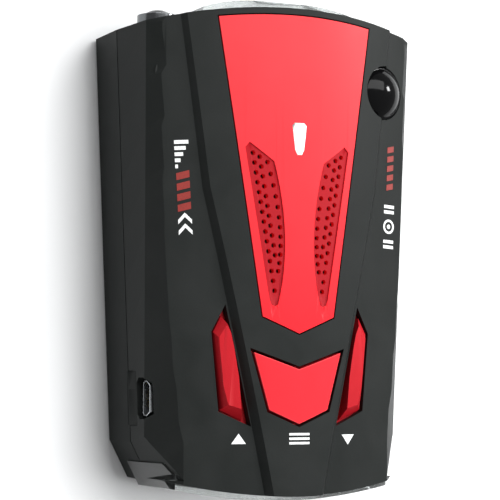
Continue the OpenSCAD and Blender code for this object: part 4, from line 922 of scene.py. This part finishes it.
class DETECTOR_OT_stage(bpy.types.Operator):
    """Set the pale floor, the soft light and the camera"""
    bl_idname = "detector.stage"
    bl_label = "Stage"

    def execute(self, context):
        stage = context.scene.detector_stage
        scene = context.scene
        shape = bmesh.new()
        bmesh.ops.create_grid(shape, x_segments=2, y_segments=2, size=stage.floor_size / 2)
        mesh = bpy.data.meshes.new("floor")
        shape.to_mesh(mesh)
        shape.free()
        floor = bpy.data.objects.new("floor", mesh)
        scene.collection.objects.link(floor)
        material, tree, place = open_material("Floor paper")
        pulp = add_node(tree, "ShaderNodeTexNoise", {"Scale": per_mm(2.0), "Detail": 4.0},
                        {"Vector": place})
        rough = add_node(tree, "ShaderNodeMapRange", {"To Min": 0.85, "To Max": 0.95},
                         {"Value": pulp.outputs[0]})
        close_material(tree, {"Base Color": opaque(stage.floor_colour),
                              "Specular IOR Level": 0.1}, None, rough, None)
        floor.data.materials.append(material)

        sky = bpy.data.worlds.new("Studio")
        sky.use_nodes = True
        sky.node_tree.nodes["Background"].inputs["Color"].default_value = (1.0, 1.0, 1.0, 1.0)
        sky.node_tree.nodes["Background"].inputs["Strength"].default_value = stage.sky
        scene.world = sky

        target = Vector(TARGET) * MM
        # Name, watts, place and size in metres, and whether the light falls on surfaces or is
        # only mirrored by glossy ones.
        lights = (("Key light", stage.key, (0.50, 0.25, 1.00), 1.2, 1.1, True),
                  ("Front light", stage.fill, (0.10, 1.20, 0.60), 0.9, 0.5, True),
                  ("Sheen light", stage.sheen, (0.05, 0.60, 0.88), 1.3, 0.6, False),
                  ("Spark light", stage.spark, (0.688, 0.293, 0.494), 0.16, 0.16, False))
        for name, power, position, width, height, soft in lights:
            lamp = bpy.data.lights.new(name, "AREA")
            lamp.shape = "RECTANGLE"
            lamp.size = width
            lamp.size_y = height
            lamp.energy = power
            carrier = bpy.data.objects.new(name, lamp)
            scene.collection.objects.link(carrier)
            carrier.location = Vector(position)
            carrier.visible_glossy = not soft
            carrier.visible_diffuse = soft
            carrier.rotation_euler = (target - Vector(position)).to_track_quat("-Z", "Y").to_euler()

        turn = Matrix.Identity(4)
        for degrees, axis in CAMERA_TURNS:
            turn = turn @ Matrix.Rotation(math.radians(degrees), 4, axis)
        eye = bpy.data.cameras.new("Camera")
        eye.lens = stage.lens
        eye.sensor_width = 36.0
        eye.clip_start = 0.01
        camera = bpy.data.objects.new("Camera", eye)
        scene.collection.objects.link(camera)
        camera.matrix_world = Matrix.Translation(target + turn.to_3x3() @ Vector(
            (0.0, 0.0, stage.distance))) @ turn
        scene.camera = camera
        scene.view_settings.view_transform = "Standard"
        return {"FINISHED"}


STEPS = (DETECTOR_OT_case_halves, DETECTOR_OT_red_panel, DETECTOR_OT_keys, DETECTOR_OT_windows,
         DETECTOR_OT_lenses, DETECTOR_OT_printed_marks, DETECTOR_OT_sockets,
         DETECTOR_OT_underside, DETECTOR_OT_circuit_boards, DETECTOR_OT_radar_head,
         DETECTOR_OT_display, DETECTOR_OT_speaker, DETECTOR_OT_stage)


class DETECTOR_PT_sidebar(bpy.types.Panel):
    """Lists the settings and the steps"""
    bl_idname = "DETECTOR_PT_sidebar"
    bl_label = "Radar Detector"
    bl_space_type = "VIEW_3D"
    bl_region_type = "UI"
    bl_category = "Detector"

    def draw(self, context):
        for step in STEPS:
            self.layout.operator(step.bl_idname)
        for group, kind in GROUPS.items():
            box = self.layout.box()
            box.label(text=kind.__doc__)
            for setting in kind.__annotations__:
                box.prop(getattr(context.scene, group), setting)


def register():
    for kind in (*GROUPS.values(), *STEPS, DETECTOR_PT_sidebar):
        bpy.utils.register_class(kind)
    for group, kind in GROUPS.items():
        setattr(bpy.types.Scene, group, PointerProperty(type=kind))


def unregister():
    for group in GROUPS:
        delattr(bpy.types.Scene, group)
    for kind in (DETECTOR_PT_sidebar, *reversed(STEPS), *reversed(GROUPS.values())):
        bpy.utils.unregister_class(kind)


def main():
    """Registers the add-on and runs every step."""
    register()
    for step in STEPS:
        group, name = step.bl_idname.split(".")
        getattr(getattr(bpy.ops, group), name)()


if __name__ == "__main__":
    main()
